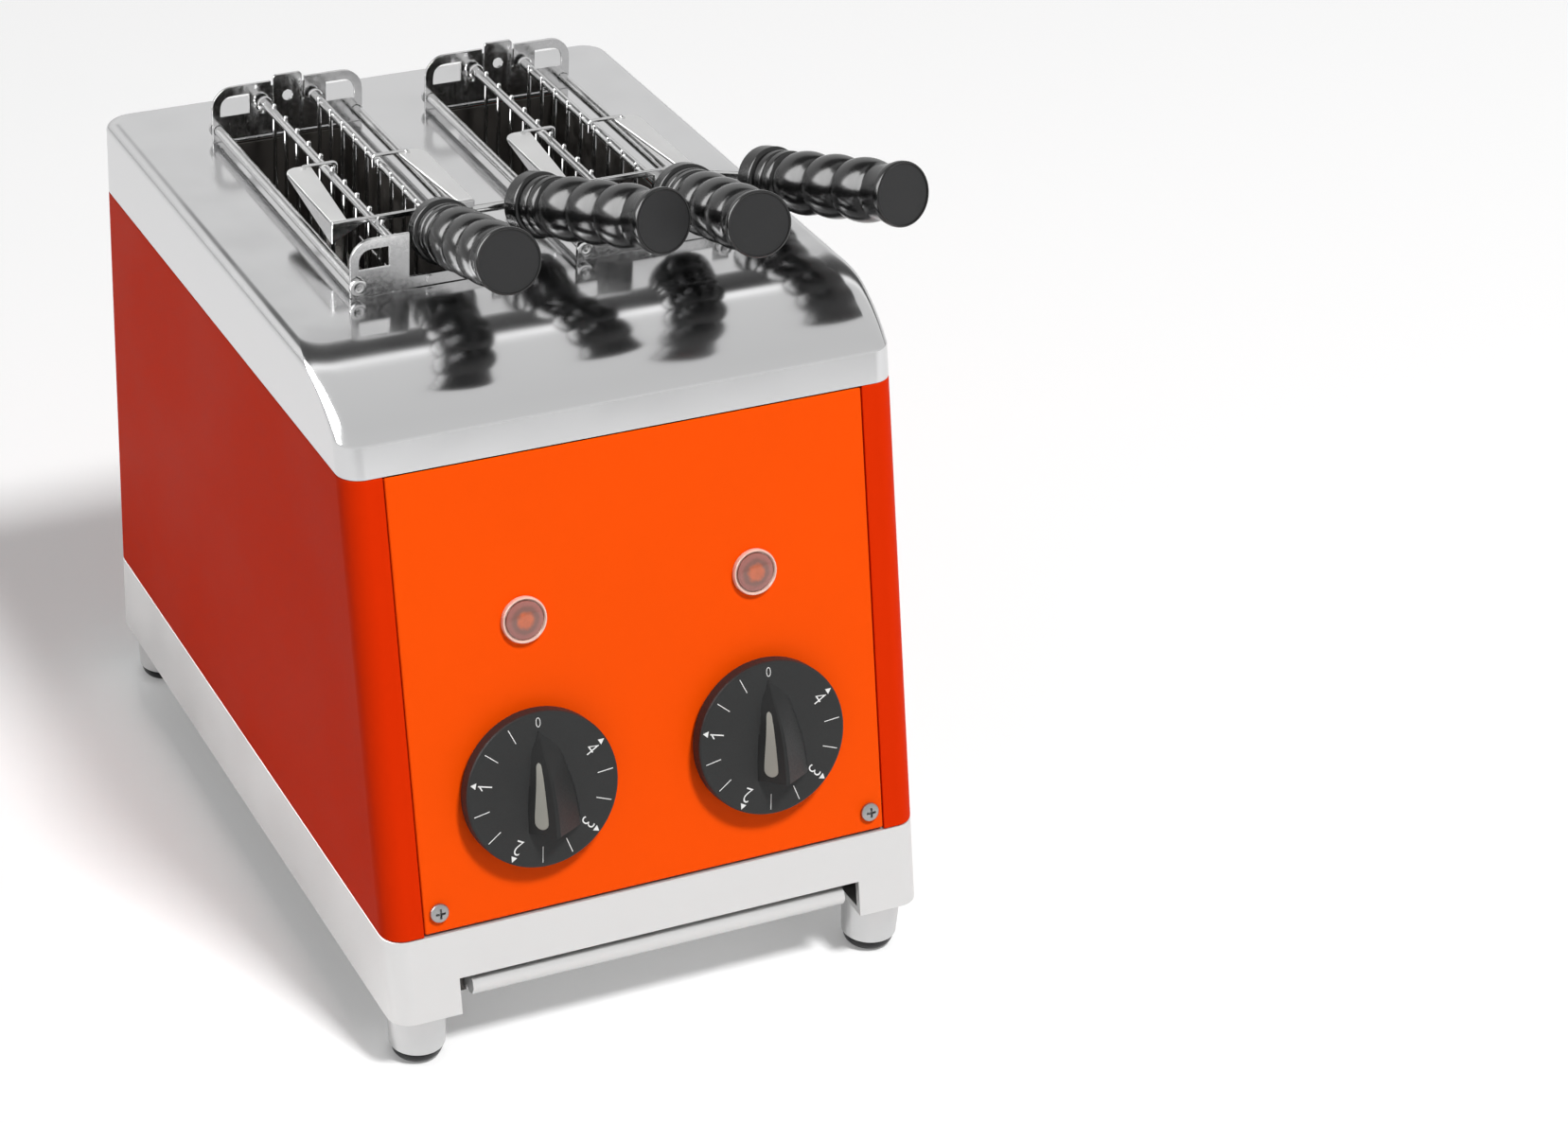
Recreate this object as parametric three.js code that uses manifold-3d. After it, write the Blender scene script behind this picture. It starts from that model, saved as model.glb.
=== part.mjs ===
// Two-slot tong toaster, built in millimetres with +Z up, +X to the right and +Y to the back.
// The floor is at Z = 0, the controls face -Y, and the origin lies under the middle of the whole outline.

import * as THREE from "three";
import { mergeVertices } from "three/addons/utils/BufferGeometryUtils.js";
import ManifoldModule from "manifold-3d";

const solids = await ManifoldModule();
solids.setup();

// Driving dimensions of the housing
const bodyWidth = 240;
const bodyFront = -169.5;
const bodyRear = 171.5;
const leanAngle = THREE.MathUtils.degToRad(13.57);
const cornerRadius = 9.5;
const footHeight = 25.5;
const baseHeight = 35.5;
const shellHeight = 187.1;
const coverHeight = 34;
const flangeWidth = 16.1;
const seamGap = 1;
const seatGap = 0.3;
const cutOverrun = 6;

// From the middle of the housing to the middle of the whole outline, handles and dials included
const outlineShiftX = 8.65;
const outlineShiftY = -1.29;

// Sheet and wall thicknesses
const baseWall = 3;
const shellWall = 1.6;
const coverWall = 1.5;
const panelWall = 1.6;

// Top cover
const coverCurveRadius = 68;
const coverCreaseRadius = 2;
const coverEdgeRadius = 5;
const coverFlatSetback = 44;
const slotSpacing = 99.2;
const slotHalfWidth = 27.2;
const slotFront = -38;
const slotRear = 124;

// Feet
const footRadius = 12.5;
const footTaper = 0.9;
const footMetalHeight = 20.3;
const footInset = 3.5;
const footStudRadius = 3;
const footStudLength = 3.4;
const footChamfer = 0.8;
const tipBore = 5;
const tipBoreDepth = 4;

// Tray and floor
const trayOpeningHalf = 90.5;
const trayOpeningHeight = 13.6;
const trayHalfWidth = 84.5;
const trayDepth = 304;
const trayWall = 1;
const trayRim = 9;
const trayLipRadius = 4.2;
const trayLipSetback = 1.5;
const trayDrop = 1.6;
const baseFlangeWidth = 27;
const baseFlangeWall = 3;
const floorWall = 2;
const floorDrop = 6;
const railWall = 1.6;
const railLip = 6;
const floorBearing = 2.4;

// Controls on the front panel
const dialHeight = 54.5;
const dialSpacing = 102;
const dialRadius = 32.97;
const dialGap = 1;
const dialThickness = 6.8;
const dialBevel = 0.9;
const lampHeight = 124.2;
const lampSpacing = 101.5;
const lampRadius = 9.7;
const lampRim = 1.5;
const lampProud = 2.2;
const lampDepth = 9;
const lampCollar = 1.1;
const panelScrewHeight = 9.6;
const panelScrewSpacing = 194;
const screwHeadRadius = 4;
const screwHeadHeight = 2.3;
const screwRadius = 1.9;
const screwLength = 9;
const crossSlot = 0.9;
const crossDepth = 1.4;
const panelReturn = 10;
const timerWidth = 52;
const timerHeight = 48;
const timerDepth = 30;
const timerBushRadius = 8;
const timerBushLength = 2;
const shaftRadius = 3;
const shaftSocket = 4;

// Pointer grip of a dial
const gripTip = 25;
const gripTail = 17;
const gripRise = 12;
const gripLeft = 8;
const gripRight = 15.5;
const insertLength = 27.5;
const insertWidth = 5.2;
const insertThickness = 0.8;

// Slot hardware
const bracketHalfWidth = 34.6;
const bracketHeight = 24.4;
const bracketWall = 1.5;
const bracketCorner = 9.5;
const bracketFoot = 0.3;
const windowInner = 17.8;
const windowOuter = 31;
const windowBottom = 11.2;
const windowTop = 20.2;
const windowCorner = 6.2;
const tabHalfWidth = 6.6;
const tabHeight = 26.8;
const tabCorner = 1.5;
const tabSlitWidth = 1;
const tabSlitBottom = 14;
const tabHoleRadius = 2.5;
const tabHoleHeight = 16.9;
const lowWallHeight = 4.9;
const lugHeight = 11;
const lugInner = 27.6;
const postInner = 9.2;
const postOuter = 24.6;
const outerRodRadius = 2.25;
const outerRodHeight = 5;
const outerRodOffset = 31.8;
const rodHeadRadius = 3.6;
const rodHeadLength = 2;
const rodSocket = 1.3;
const rodSocketDepth = 1.2;
const ledgeWall = 1.6;
const ledgeDepth = 4.5;
const bracketScrewRadius = 2.1;
const bracketScrewHeight = 2.5;
const bracketScrewProud = 1;

// Heating chambers
const chamberWall = 1.2;
const heaterRadius = 3.6;
const heaterOffset = 20.6;
const heaterCount = 4;
const heaterBottom = 108;
const heaterPitch = 38;
const holderWall = 3;
const holderHalfWidth = 5;
const holderMargin = 9;

// Tongs
const railRadius = 1.9;
const railOffset = 11.6;
const railHeight = 16;
const railEndGap = 1.5;
const shortRailFront = -6;
const wireRadius = 0.9;
const wirePitch = 14;
const wireRise = 1.2;
const wireInset = 1.3;
const gridDepth = 128;
const gridEndGap = 1.4;
const bottomRailRadius = 1.6;
const crossWireCount = 1;
const crossWireRadius = 0.75;
const hingeRadius = 1.6;
const hingeEye = 4.2;
const hingeEyeHeight = 3;
const hingeSetback = 9;
const leafLength = 55;
const leafRearWidth = 12;
const leafFrontWidth = 7;
const leafOuter = 31.2;
const leafWall = 1.6;
const leafRise = 2.2;
const leafFront = -9;
const barDrop = 10;
const barWall = 2;
const armRadius = 2;
const barNotchGap = 0.35;
const stapleRadius = 1.1;
const stapleDrop = 4.2;
const stapleSetback = 5;
const stubRadius = 2.6;
const stubDepth = 21;

// Handles: from the middle of its slot, from the leaf and from the cover to where its axis meets its collar
const handles = {
  left_left: { aside: 11.4, ahead: 12, rise: 14.3, yaw: -5 },
  left_right: { aside: 53.7, ahead: 7.3, rise: 16.9, yaw: 12 },
  right_left: { aside: 15.1, ahead: 25, rise: 18.4, yaw: -6.5 },
  right_right: { aside: 57, ahead: 15, rise: 14.8, yaw: 11.5 },
};
const handlePitch = THREE.MathUtils.degToRad(16.8);
const handleLength = 93;
const handleCollarRadius = 13.8;
const handleCollarLength = 21.4;
const handleBeadRadius = 13.3;
const handleGrooveRadius = 11.3;
const handleBeadLength = 19;
const handleBeadCount = 3;
const handleCapRadius = 13.4;
const handleCapRecess = 0.6;
const handleCapRim = 1.1;

// Cord inlet
const glandRadius = 8;
const glandBore = 3.4;
const glandProud = 5;
const glandHeight = 22;
const glandOffset = 70;
const glandGroove = 1;

// Smoothness
const cornerSteps = 4;
const curveSteps = 8;
const rodSides = 8;
const wireSides = 4;
const socketSides = 6;
const roundSides = 16;
const dialSides = 40;
const handleSides = 12;
const beadSteps = 4;
const domeSteps = 3;
const bisectSteps = 40;
const mergeTolerance = 1e-4;

// Shares of the sizes that they follow
const tipFlatShare = 0.62;
const screwEdgeShare = 0.45;
const screwCrownShare = 0.62;
const crossReachShare = 0.62;
const lampEdgeShare = 0.8;
const lampDomeShare = 0.45;
const insertPlaceShare = 0.4;
const insertLowShare = 0.62;
const insertTaperShare = 0.45;
const hingeArmShare = 0.7;
const leafCornerShare = 0.45;
const collarEdgeShare = 0.93;
const collarShares = [[1, 0.05], [1, 0.42], [0.92, 0.46], [1, 0.5], [1, 0.97]];
const flareShare = 0.9;
const beadPowerShare = 0.8;
// Along the grip from tip to tail: place, left reach, right reach and rise
const gripShares = [
  [1, 0.03, 0.02, 0.04],
  [0.72, 0.5, 0.5, 0.2],
  [0.36, 0.7, 0.72, 0.6],
  [-0.08, 0.88, 0.9, 0.84],
  [-0.5, 0.97, 0.98, 0.96],
  [-gripTail / gripTip, 1, 1, 1],
];

// Heights and places worked out from the driving dimensions
const halfWidth = bodyWidth / 2;
const leanSlope = Math.tan(leanAngle);
const leanCos = Math.cos(leanAngle);
const baseBottom = footHeight;
const baseTop = baseBottom + baseHeight;
const shellTop = baseTop + shellHeight;
const coverTop = shellTop + coverHeight;
const floorTop = baseTop - floorDrop;
const slotCentres = [-slotSpacing / 2, slotSpacing / 2];
const panelHalf = halfWidth - flangeWidth - seamGap / 2;
const panelSlant = shellHeight / leanCos - 2 * seatGap;
const panelFoot = seamGap;
const plateFront = slotFront - bracketWall - seatGap;
const plateRear = slotRear + seatGap;
const railZ = coverTop + railHeight;
const railFront = slotFront + railEndGap;
const gridFront = slotFront + ledgeDepth + gridEndGap;
const gridRear = slotRear - ledgeDepth - gridEndGap;
const railRear = slotRear - railEndGap;
const ledgeTop = railZ - railRadius - seatGap;
const chamberFloor = floorTop + seatGap;
const chamberCeiling = coverTop - coverWall - seatGap;
const gridBottom = railZ - gridDepth;
const leafZ = railZ + railRadius + leafRise - leafWall;
const glandZ = baseTop + glandHeight;

function frontAt(z) {
  return bodyFront + (z - baseTop) * leanSlope;
}

// Materials
const materials = {
  mirror: { color: 0xd9dadb, roughness: 0.08, metalness: 1 },
  satin: { color: 0xcfcfcf, roughness: 0.4, metalness: 0.7 },
  orange: { color: 0xff4a00, roughness: 0.22, metalness: 0 },
  aluminium: { color: 0xb4b4b4, roughness: 0.35, metalness: 0.9 },
  rubber: { color: 0x26262a, roughness: 0.8, metalness: 0 },
  dialGrey: { color: 0x3d3e40, roughness: 0.55, metalness: 0 },
  insertGrey: { color: 0xa2a199, roughness: 0.5, metalness: 0 },
  lens: { color: 0x9c5348, roughness: 0.12, metalness: 0 },
  bezel: { color: 0xf2c0b6, roughness: 0.2, metalness: 0 },
  gloss: { color: 0x0d0d0e, roughness: 0.08, metalness: 0 },
  chrome: { color: 0xc8c8c8, roughness: 0.15, metalness: 1 },
  darkSteel: { color: 0x3b3a39, roughness: 0.6, metalness: 0.6 },
  quartz: { color: 0xd8d4cc, roughness: 0.25, metalness: 0 },
  housing: { color: 0x2e2e30, roughness: 0.6, metalness: 0 },
};

function material(name) {
  return new THREE.MeshStandardMaterial(materials[name]);
}

// Solid operations
function toSolid(geometry) {
  const bare = new THREE.BufferGeometry();
  bare.setAttribute("position", geometry.getAttribute("position").clone());
  if (geometry.index) bare.setIndex(geometry.index.clone());
  const merged = mergeVertices(bare, mergeTolerance);
  const corners = merged.index.array;
  const kept = [];
  for (let i = 0; i < corners.length; i += 3) {
    const [a, b, c] = [corners[i], corners[i + 1], corners[i + 2]];
    if (a !== b && b !== c && a !== c) kept.push(a, b, c);
  }
  const mesh = new solids.Mesh({
    numProp: 3,
    vertProperties: new Float32Array(merged.getAttribute("position").array),
    triVerts: new Uint32Array(kept),
  });
  return new solids.Manifold(mesh);
}

function toGeometry(solid) {
  const mesh = solid.getMesh();
  const geometry = new THREE.BufferGeometry();
  geometry.setAttribute("position", new THREE.BufferAttribute(new Float32Array(mesh.vertProperties), 3));
  geometry.setIndex(new THREE.BufferAttribute(new Uint32Array(mesh.triVerts), 1));
  return geometry;
}

function join(geometries) {
  let whole = toSolid(geometries[0]);
  for (const geometry of geometries.slice(1)) whole = whole.add(toSolid(geometry));
  return toGeometry(whole);
}

function cut(geometry, tools) {
  let whole = toSolid(geometry);
  for (const tool of tools) whole = whole.subtract(toSolid(tool));
  return toGeometry(whole);
}

function finish(geometry) {
  const flat = geometry.index ? geometry.toNonIndexed() : geometry;
  flat.computeVertexNormals();
  return flat;
}

function part(name, look, geometry) {
  const mesh = new THREE.Mesh(finish(geometry), material(look));
  mesh.name = name;
  return mesh;
}

// Shape helpers
function block(x0, x1, y0, y1, z0, z1) {
  const geometry = new THREE.BoxGeometry(x1 - x0, y1 - y0, z1 - z0);
  return geometry.translate((x0 + x1) / 2, (y0 + y1) / 2, (z0 + z1) / 2);
}

// A block between two places each way, whichever comes first
function span(xs, ys, zs) {
  const ends = [xs, ys, zs].flatMap((pair) => [Math.min(...pair), Math.max(...pair)]);
  return block(...ends);
}

function rodBetween(from, to, radius, sides) {
  const along = new THREE.Vector3().subVectors(to, from);
  const geometry = new THREE.CylinderGeometry(radius, radius, along.length(), sides);
  const turn = new THREE.Quaternion().setFromUnitVectors(new THREE.Vector3(0, 1, 0), along.clone().normalize());
  geometry.applyQuaternion(turn);
  const middle = new THREE.Vector3().addVectors(from, to).multiplyScalar(0.5);
  return geometry.translate(middle.x, middle.y, middle.z);
}

function vec(x, y, z) {
  return new THREE.Vector3(x, y, z);
}

function discZ(radius, z0, z1, sides = roundSides) {
  return rodBetween(vec(0, 0, z0), vec(0, 0, z1), radius, sides);
}

function latheZ(profile, sides) {
  const points = profile.map(([radius, height]) => new THREE.Vector2(radius, height));
  return new THREE.LatheGeometry(points, sides).rotateX(Math.PI / 2);
}

function loft(rings) {
  const count = rings[0].length;
  const positions = rings.flat().flatMap((point) => [point.x, point.y, point.z]);
  const faces = [];
  for (let ring = 0; ring + 1 < rings.length; ring += 1) {
    for (let i = 0; i < count; i += 1) {
      const next = (i + 1) % count;
      const [a, b] = [ring * count + i, ring * count + next];
      const [c, d] = [a + count, b + count];
      faces.push(a, b, d, a, d, c);
    }
  }
  const last = (rings.length - 1) * count;
  for (let i = 1; i + 1 < count; i += 1) {
    faces.push(0, i + 1, i);
    faces.push(last, last + i, last + i + 1);
  }
  const geometry = new THREE.BufferGeometry();
  geometry.setAttribute("position", new THREE.Float32BufferAttribute(positions, 3));
  geometry.setIndex(faces);
  return geometry;
}

function planRing(z, halfX, front, rear, radius) {
  const centres = [
    [halfX - radius, front + radius, -Math.PI / 2],
    [halfX - radius, rear - radius, 0],
    [-halfX + radius, rear - radius, Math.PI / 2],
    [-halfX + radius, front + radius, Math.PI],
  ];
  const ring = [];
  for (const [x, y, start] of centres) {
    for (let step = 0; step <= cornerSteps; step += 1) {
      const angle = start + (step / cornerSteps) * (Math.PI / 2);
      ring.push(vec(x + radius * Math.cos(angle), y + radius * Math.sin(angle), z));
    }
  }
  return ring;
}

function bodyRing(z, inset) {
  const front = frontAt(z) + inset / leanCos;
  return planRing(z, halfWidth - inset, front, bodyRear - inset, cornerRadius - inset);
}

function bodyBlock(z0, z1, inset) {
  return loft([bodyRing(z0, inset), bodyRing(z1, inset)]);
}

function plateShape(halfX, height, radius) {
  const shape = new THREE.Shape();
  shape.moveTo(-halfX, 0);
  shape.lineTo(halfX, 0);
  shape.lineTo(halfX, height - radius);
  shape.absarc(halfX - radius, height - radius, radius, 0, Math.PI / 2, false);
  shape.lineTo(-halfX + radius, height);
  shape.absarc(-halfX + radius, height - radius, radius, Math.PI / 2, Math.PI, false);
  shape.closePath();
  return shape;
}

// Base skirt with its tray cut-out and foot flanges
function baseSkirt() {
  const top = baseTop - seatGap;
  const outer = bodyBlock(baseBottom, top, 0);
  const flangeTop = baseBottom + baseFlangeWall;
  const inner = bodyBlock(flangeTop, top + cutOverrun, baseWall);
  const openHalf = halfWidth - baseFlangeWidth;
  const openRear = bodyRear - baseFlangeWidth;
  const hatchTop = flangeTop + cutOverrun;
  const frontEdge = frontAt(baseBottom) + baseFlangeWidth + footInset;
  const hatch = block(-openHalf, openHalf, frontEdge, openRear, baseBottom - cutOverrun, hatchTop);
  const mouthFront = frontAt(baseBottom) - cutOverrun;
  const mouthTop = baseBottom + trayOpeningHeight;
  const mouth = block(
    -trayOpeningHalf, trayOpeningHalf, mouthFront, frontEdge + cutOverrun, baseBottom - cutOverrun, mouthTop,
  );
  const studHole = discZ(footStudRadius + seatGap, baseBottom - cutOverrun, flangeTop + cutOverrun, rodSides);
  const studHoles = footPlaces().map(([x, y]) => studHole.clone().translate(x, y, 0));
  return part("base_skirt", "satin", cut(outer, [inner, hatch, mouth, ...studHoles]));
}

function footPlaces() {
  const x = halfWidth - footInset - footRadius;
  const front = frontAt(baseBottom) + footInset + footRadius;
  const rear = bodyRear - footInset - footRadius;
  return [[-x, front], [x, front], [-x, rear], [x, rear]];
}

function feet() {
  const names = ["front_left", "front_right", "rear_left", "rear_right"];
  const top = baseBottom - seatGap;
  const metalBottom = footHeight - footMetalHeight;
  const lowRadius = footRadius - footTaper;
  const bodyProfile = [
    [0, metalBottom],
    [lowRadius - footChamfer, metalBottom],
    [lowRadius, metalBottom + footChamfer],
    [footRadius, top - footChamfer],
    [footRadius - footChamfer, top],
    [footStudRadius, top],
    [footStudRadius, top + footStudLength],
    [0, top + footStudLength],
  ];
  const socket = discZ(tipBore, metalBottom - cutOverrun, metalBottom + tipBoreDepth);
  const metal = cut(latheZ(bodyProfile, roundSides), [socket]);
  const tipTop = metalBottom - seatGap;
  const tipRadius = lowRadius - footChamfer;
  const tipProfile = [[0, 0]];
  for (let step = 1; step <= domeSteps; step += 1) {
    const angle = (step / domeSteps) * (Math.PI / 2);
    const reachShare = tipFlatShare + (1 - tipFlatShare) * Math.sin(angle);
    tipProfile.push([tipRadius * reachShare, tipTop * (1 - Math.cos(angle))]);
  }
  tipProfile.splice(1, 0, [tipRadius * tipFlatShare, 0]);
  tipProfile.push([tipBore - seatGap, tipTop]);
  tipProfile.push([tipBore - seatGap, metalBottom + tipBoreDepth - seatGap]);
  tipProfile.push([0, metalBottom + tipBoreDepth - seatGap]);
  const rubber = toGeometry(toSolid(latheZ(tipProfile, roundSides)));
  return footPlaces().flatMap(([x, y], i) => {
    const foot = part(`foot_${names[i]}`, "aluminium", metal.clone());
    const tip = part(`foot_tip_${names[i]}`, "rubber", rubber.clone());
    foot.position.set(x, y, 0);
    tip.position.set(x, y, 0);
    return [foot, tip];
  });
}

// Floor plate that carries the chambers, with the two rails of the tray
function chassisFloor() {
  const edge = baseWall + seatGap;
  const plate = bodyBlock(floorTop - floorWall, floorTop, edge);
  const holes = slotCentres.map((x) => {
    const half = slotHalfWidth - floorBearing;
    return block(x - half, x + half, slotFront + floorBearing, slotRear - floorBearing,
      floorTop - floorWall - cutOverrun, floorTop + cutOverrun);
  });
  const railBottom = trayBottom() - seatGap - railWall;
  const railInner = trayHalfWidth + seatGap;
  const railFrontY = frontAt(floorTop) + 2 * baseWall;
  const railReach = [railFrontY, railFrontY + trayDepth];
  const rails = [-1, 1].flatMap((side) => {
    const outside = side * (railInner + railWall);
    const wall = span([side * railInner, outside], railReach, [railBottom, floorTop - floorWall / 2]);
    const lipEnd = side * (railInner - railLip);
    const lip = span([lipEnd, outside], railReach, [railBottom, railBottom + railWall]);
    return [wall, lip];
  });
  return part("chassis_floor", "darkSteel", join([cut(plate, holes), ...rails]));
}

function trayBottom() {
  return baseBottom + trayDrop + railWall + seatGap;
}

// Crumb tray with a rolled front lip
function crumbTray() {
  const bottom = trayBottom();
  const top = bottom + trayRim;
  const front = frontAt(bottom) + trayLipRadius * 2 + trayLipSetback;
  const rear = front + trayDepth;
  const outer = block(-trayHalfWidth, trayHalfWidth, front, rear, bottom, top);
  const inner = block(-trayHalfWidth + trayWall, trayHalfWidth - trayWall, front + trayWall, rear - trayWall,
    bottom + trayWall, top + cutOverrun);
  const lipCentreY = front - trayLipRadius + trayWall;
  const lipCentreZ = top - trayLipRadius;
  const lipEnds = [-trayHalfWidth, trayHalfWidth].map((x) => vec(x, lipCentreY, lipCentreZ));
  const lip = rodBetween(...lipEnds, trayLipRadius, roundSides / 2);
  return part("crumb_tray", "satin", join([cut(outer, [inner]), lip]));
}

// Painted shell that wraps round the sides, the back and the front corners
function shell() {
  const z0 = baseTop;
  const z1 = shellTop - seatGap;
  const outer = bodyBlock(z0, z1, 0);
  const inner = bodyBlock(z0 - cutOverrun, z1 + cutOverrun, shellWall);
  const openHalf = halfWidth - flangeWidth;
  const openRear = frontAt(z1) + shellWall + cutOverrun;
  const openFront = frontAt(z0) - cutOverrun;
  const window = block(-openHalf, openHalf, openFront, openRear, z0 - cutOverrun, z1 + cutOverrun);
  const hole = discZ(glandRadius + seatGap, bodyRear - cutOverrun, bodyRear + cutOverrun, rodSides * 2)
    .rotateX(-Math.PI / 2).translate(glandOffset, 0, glandZ);
  return part("shell", "orange", cut(outer, [inner, window, hole]));
}

function cordGland() {
  const inside = bodyRear - shellWall - glandProud / 2;
  const outside = bodyRear + glandProud;
  const flange = discZ(glandRadius + glandGroove, bodyRear + seatGap, outside);
  const barrel = discZ(glandRadius, inside, outside - glandGroove);
  const bore = discZ(glandBore, inside - cutOverrun, outside + cutOverrun, rodSides * 2);
  const body = cut(join([flange, barrel]), [bore]);
  return part("cord_gland", "housing", body.rotateX(-Math.PI / 2).translate(glandOffset, 0, glandZ));
}

// Front panel and what is mounted on it, in a frame that lies on the panel
function panelGroup() {
  const group = new THREE.Group();
  group.position.set(0, bodyFront, baseTop);
  group.rotation.x = Math.PI / 2 - leanAngle;
  return group;
}

function frontPanel() {
  const plate = block(-panelHalf, panelHalf, panelFoot, panelSlant, -panelReturn, 0);
  const hollowHalf = panelHalf - panelWall;
  const hollow = block(-hollowHalf, hollowHalf, panelFoot - cutOverrun, panelSlant + cutOverrun,
    -panelReturn - cutOverrun, -panelWall);
  const holes = [];
  for (const side of [-1, 1]) {
    const through = [-panelWall - cutOverrun, cutOverrun];
    const places = [
      [lampRadius - lampCollar, roundSides, lampSpacing, lampHeight],
      [timerBushRadius, roundSides, dialSpacing, dialHeight],
      [screwRadius, rodSides, panelScrewSpacing, panelScrewHeight],
    ];
    for (const [radius, sides, spacing, height] of places) {
      holes.push(discZ(radius + seatGap, ...through, sides).translate(side * spacing / 2, height, 0));
    }
  }
  return part("front_panel", "orange", cut(plate, [hollow, ...holes]));
}

function panelScrew(name, x) {
  const head = latheZ([
    [0, seatGap], [screwHeadRadius, seatGap], [screwHeadRadius, seatGap + screwHeadHeight * screwEdgeShare],
    [screwHeadRadius * screwCrownShare, seatGap + screwHeadHeight], [0, seatGap + screwHeadHeight],
  ], roundSides);
  const shank = discZ(screwRadius, -screwLength, seatGap + screwHeadHeight / 2, rodSides);
  const arm = screwHeadRadius * crossReachShare;
  const [low, high] = [seatGap + screwHeadHeight - crossDepth, seatGap + screwHeadHeight + cutOverrun];
  const slots = [
    block(-arm, arm, -crossSlot / 2, crossSlot / 2, low, high),
    block(-crossSlot / 2, crossSlot / 2, -arm, arm, low, high),
  ];
  const screw = part(name, "aluminium", cut(join([head, shank]), slots));
  screw.position.set(x, panelScrewHeight, 0);
  return screw;
}

function lamp(name, x) {
  const inner = lampRadius - lampRim;
  const sleeve = lampRadius - lampCollar;
  const collar = discZ(lampRadius, seatGap, lampProud);
  const barrel = discZ(sleeve, -lampDepth, lampProud / 2);
  const bore = discZ(inner - lampCollar, -lampDepth + lampRim, lampProud + cutOverrun);
  const mouth = discZ(inner, lampProud / 2, lampProud + cutOverrun);
  const bezel = part(`${name}_bezel`, "bezel", cut(join([collar, barrel]), [bore, mouth]));
  const seat = lampProud / 2 + seatGap;
  const domeRadius = inner - seatGap;
  const dome = [[0, seat]];
  dome.push([domeRadius, seat]);
  for (let step = 0; step <= domeSteps; step += 1) {
    const angle = (step / domeSteps) * (Math.PI / 2);
    const riseShare = lampEdgeShare + lampDomeShare * Math.sin(angle);
    dome.push([domeRadius * Math.cos(angle), lampProud * riseShare]);
  }
  const lens = part(`${name}_lens`, "lens", toGeometry(toSolid(latheZ(dome, roundSides))));
  bezel.position.set(x, lampHeight, 0);
  lens.position.set(x, lampHeight, 0);
  return [bezel, lens];
}

// Pointer grip: a section at each station
function gripStation([place, left, right, rise], base) {
  const y = place * gripTip;
  return [
    vec(-gripLeft * left, y, base),
    vec(gripRight * right, y, base),
    vec(0, y, base + gripRise * rise),
  ];
}

function dialGrip(base) {
  const root = base - dialBevel;
  return loft(gripShares.map((station) => gripStation(station, root)));
}

// The left flank of the grip: a point at a share of its length and of its rise
function flankPoint(place, up, lift) {
  const wanted = place * gripTip;
  let low = gripShares.length - 1;
  while (low > 1 && gripShares[low - 1][0] * gripTip < wanted) low -= 1;
  const [from, to] = [gripShares[low - 1], gripShares[low]];
  const t = (wanted / gripTip - from[0]) / (to[0] - from[0]);
  const left = gripLeft * (from[1] + (to[1] - from[1]) * t);
  const rise = gripRise * (from[3] + (to[3] - from[3]) * t);
  const root = dialGap + dialThickness - dialBevel;
  const outward = vec(-rise, 0, left).normalize().multiplyScalar(lift);
  return vec(-left * (1 - up), wanted, root + rise * up).add(outward);
}

function dialInsert(name, x) {
  const rings = [];
  const start = insertPlaceShare;
  const end = insertPlaceShare - insertLength / gripTip;
  for (let step = 0; step <= domeSteps; step += 1) {
    const t = step / domeSteps;
    const place = start + (end - start) * t;
    const width = insertWidth * (insertTaperShare + (1 - insertTaperShare) * t);
    const span = width / Math.hypot(gripLeft, gripRise);
    const [low, high] = [insertLowShare - span / 2, insertLowShare + span / 2];
    rings.push([
      flankPoint(place, high, seatGap),
      flankPoint(place, high, seatGap + insertThickness),
      flankPoint(place, low, seatGap + insertThickness),
      flankPoint(place, low, seatGap),
    ]);
  }
  const mesh = part(name, "insertGrey", toGeometry(toSolid(loft(rings))));
  mesh.position.set(x, dialHeight, 0);
  return mesh;
}

function dial(name, x) {
  const top = dialGap + dialThickness;
  const disc = latheZ([
    [0, dialGap], [dialRadius, dialGap], [dialRadius, top - dialBevel], [dialRadius - dialBevel, top], [0, top],
  ], dialSides);
  const socketTop = dialGap + shaftSocket + seatGap;
  const socket = discZ(shaftRadius + seatGap, dialGap - cutOverrun, socketTop, roundSides / 2);
  const body = part(name, "dialGrey", cut(join([disc, dialGrip(top)]), [socket]));
  body.position.set(x, dialHeight, 0);
  return body;
}

function timer(name, x) {
  const back = -panelWall - seatGap;
  const [halfAcross, halfUp] = [timerWidth / 2, timerHeight / 2];
  const box = block(-halfAcross, halfAcross, -halfUp, halfUp, back - timerDepth, back);
  const bush = discZ(timerBushRadius, back - timerBushLength, 0);
  const bore = discZ(shaftRadius + seatGap, back - timerDepth / 2, cutOverrun, roundSides / 2);
  const body = part(name, "housing", cut(join([box, bush]), [bore]));
  body.position.set(x, dialHeight, 0);
  const shaftBack = back - timerDepth / 2 + seatGap;
  const rod = discZ(shaftRadius, shaftBack, dialGap + shaftSocket, roundSides / 2);
  const shaft = part(`${name}_shaft`, "aluminium", rod);
  shaft.position.set(x, dialHeight, 0);
  return [body, shaft];
}

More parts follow.
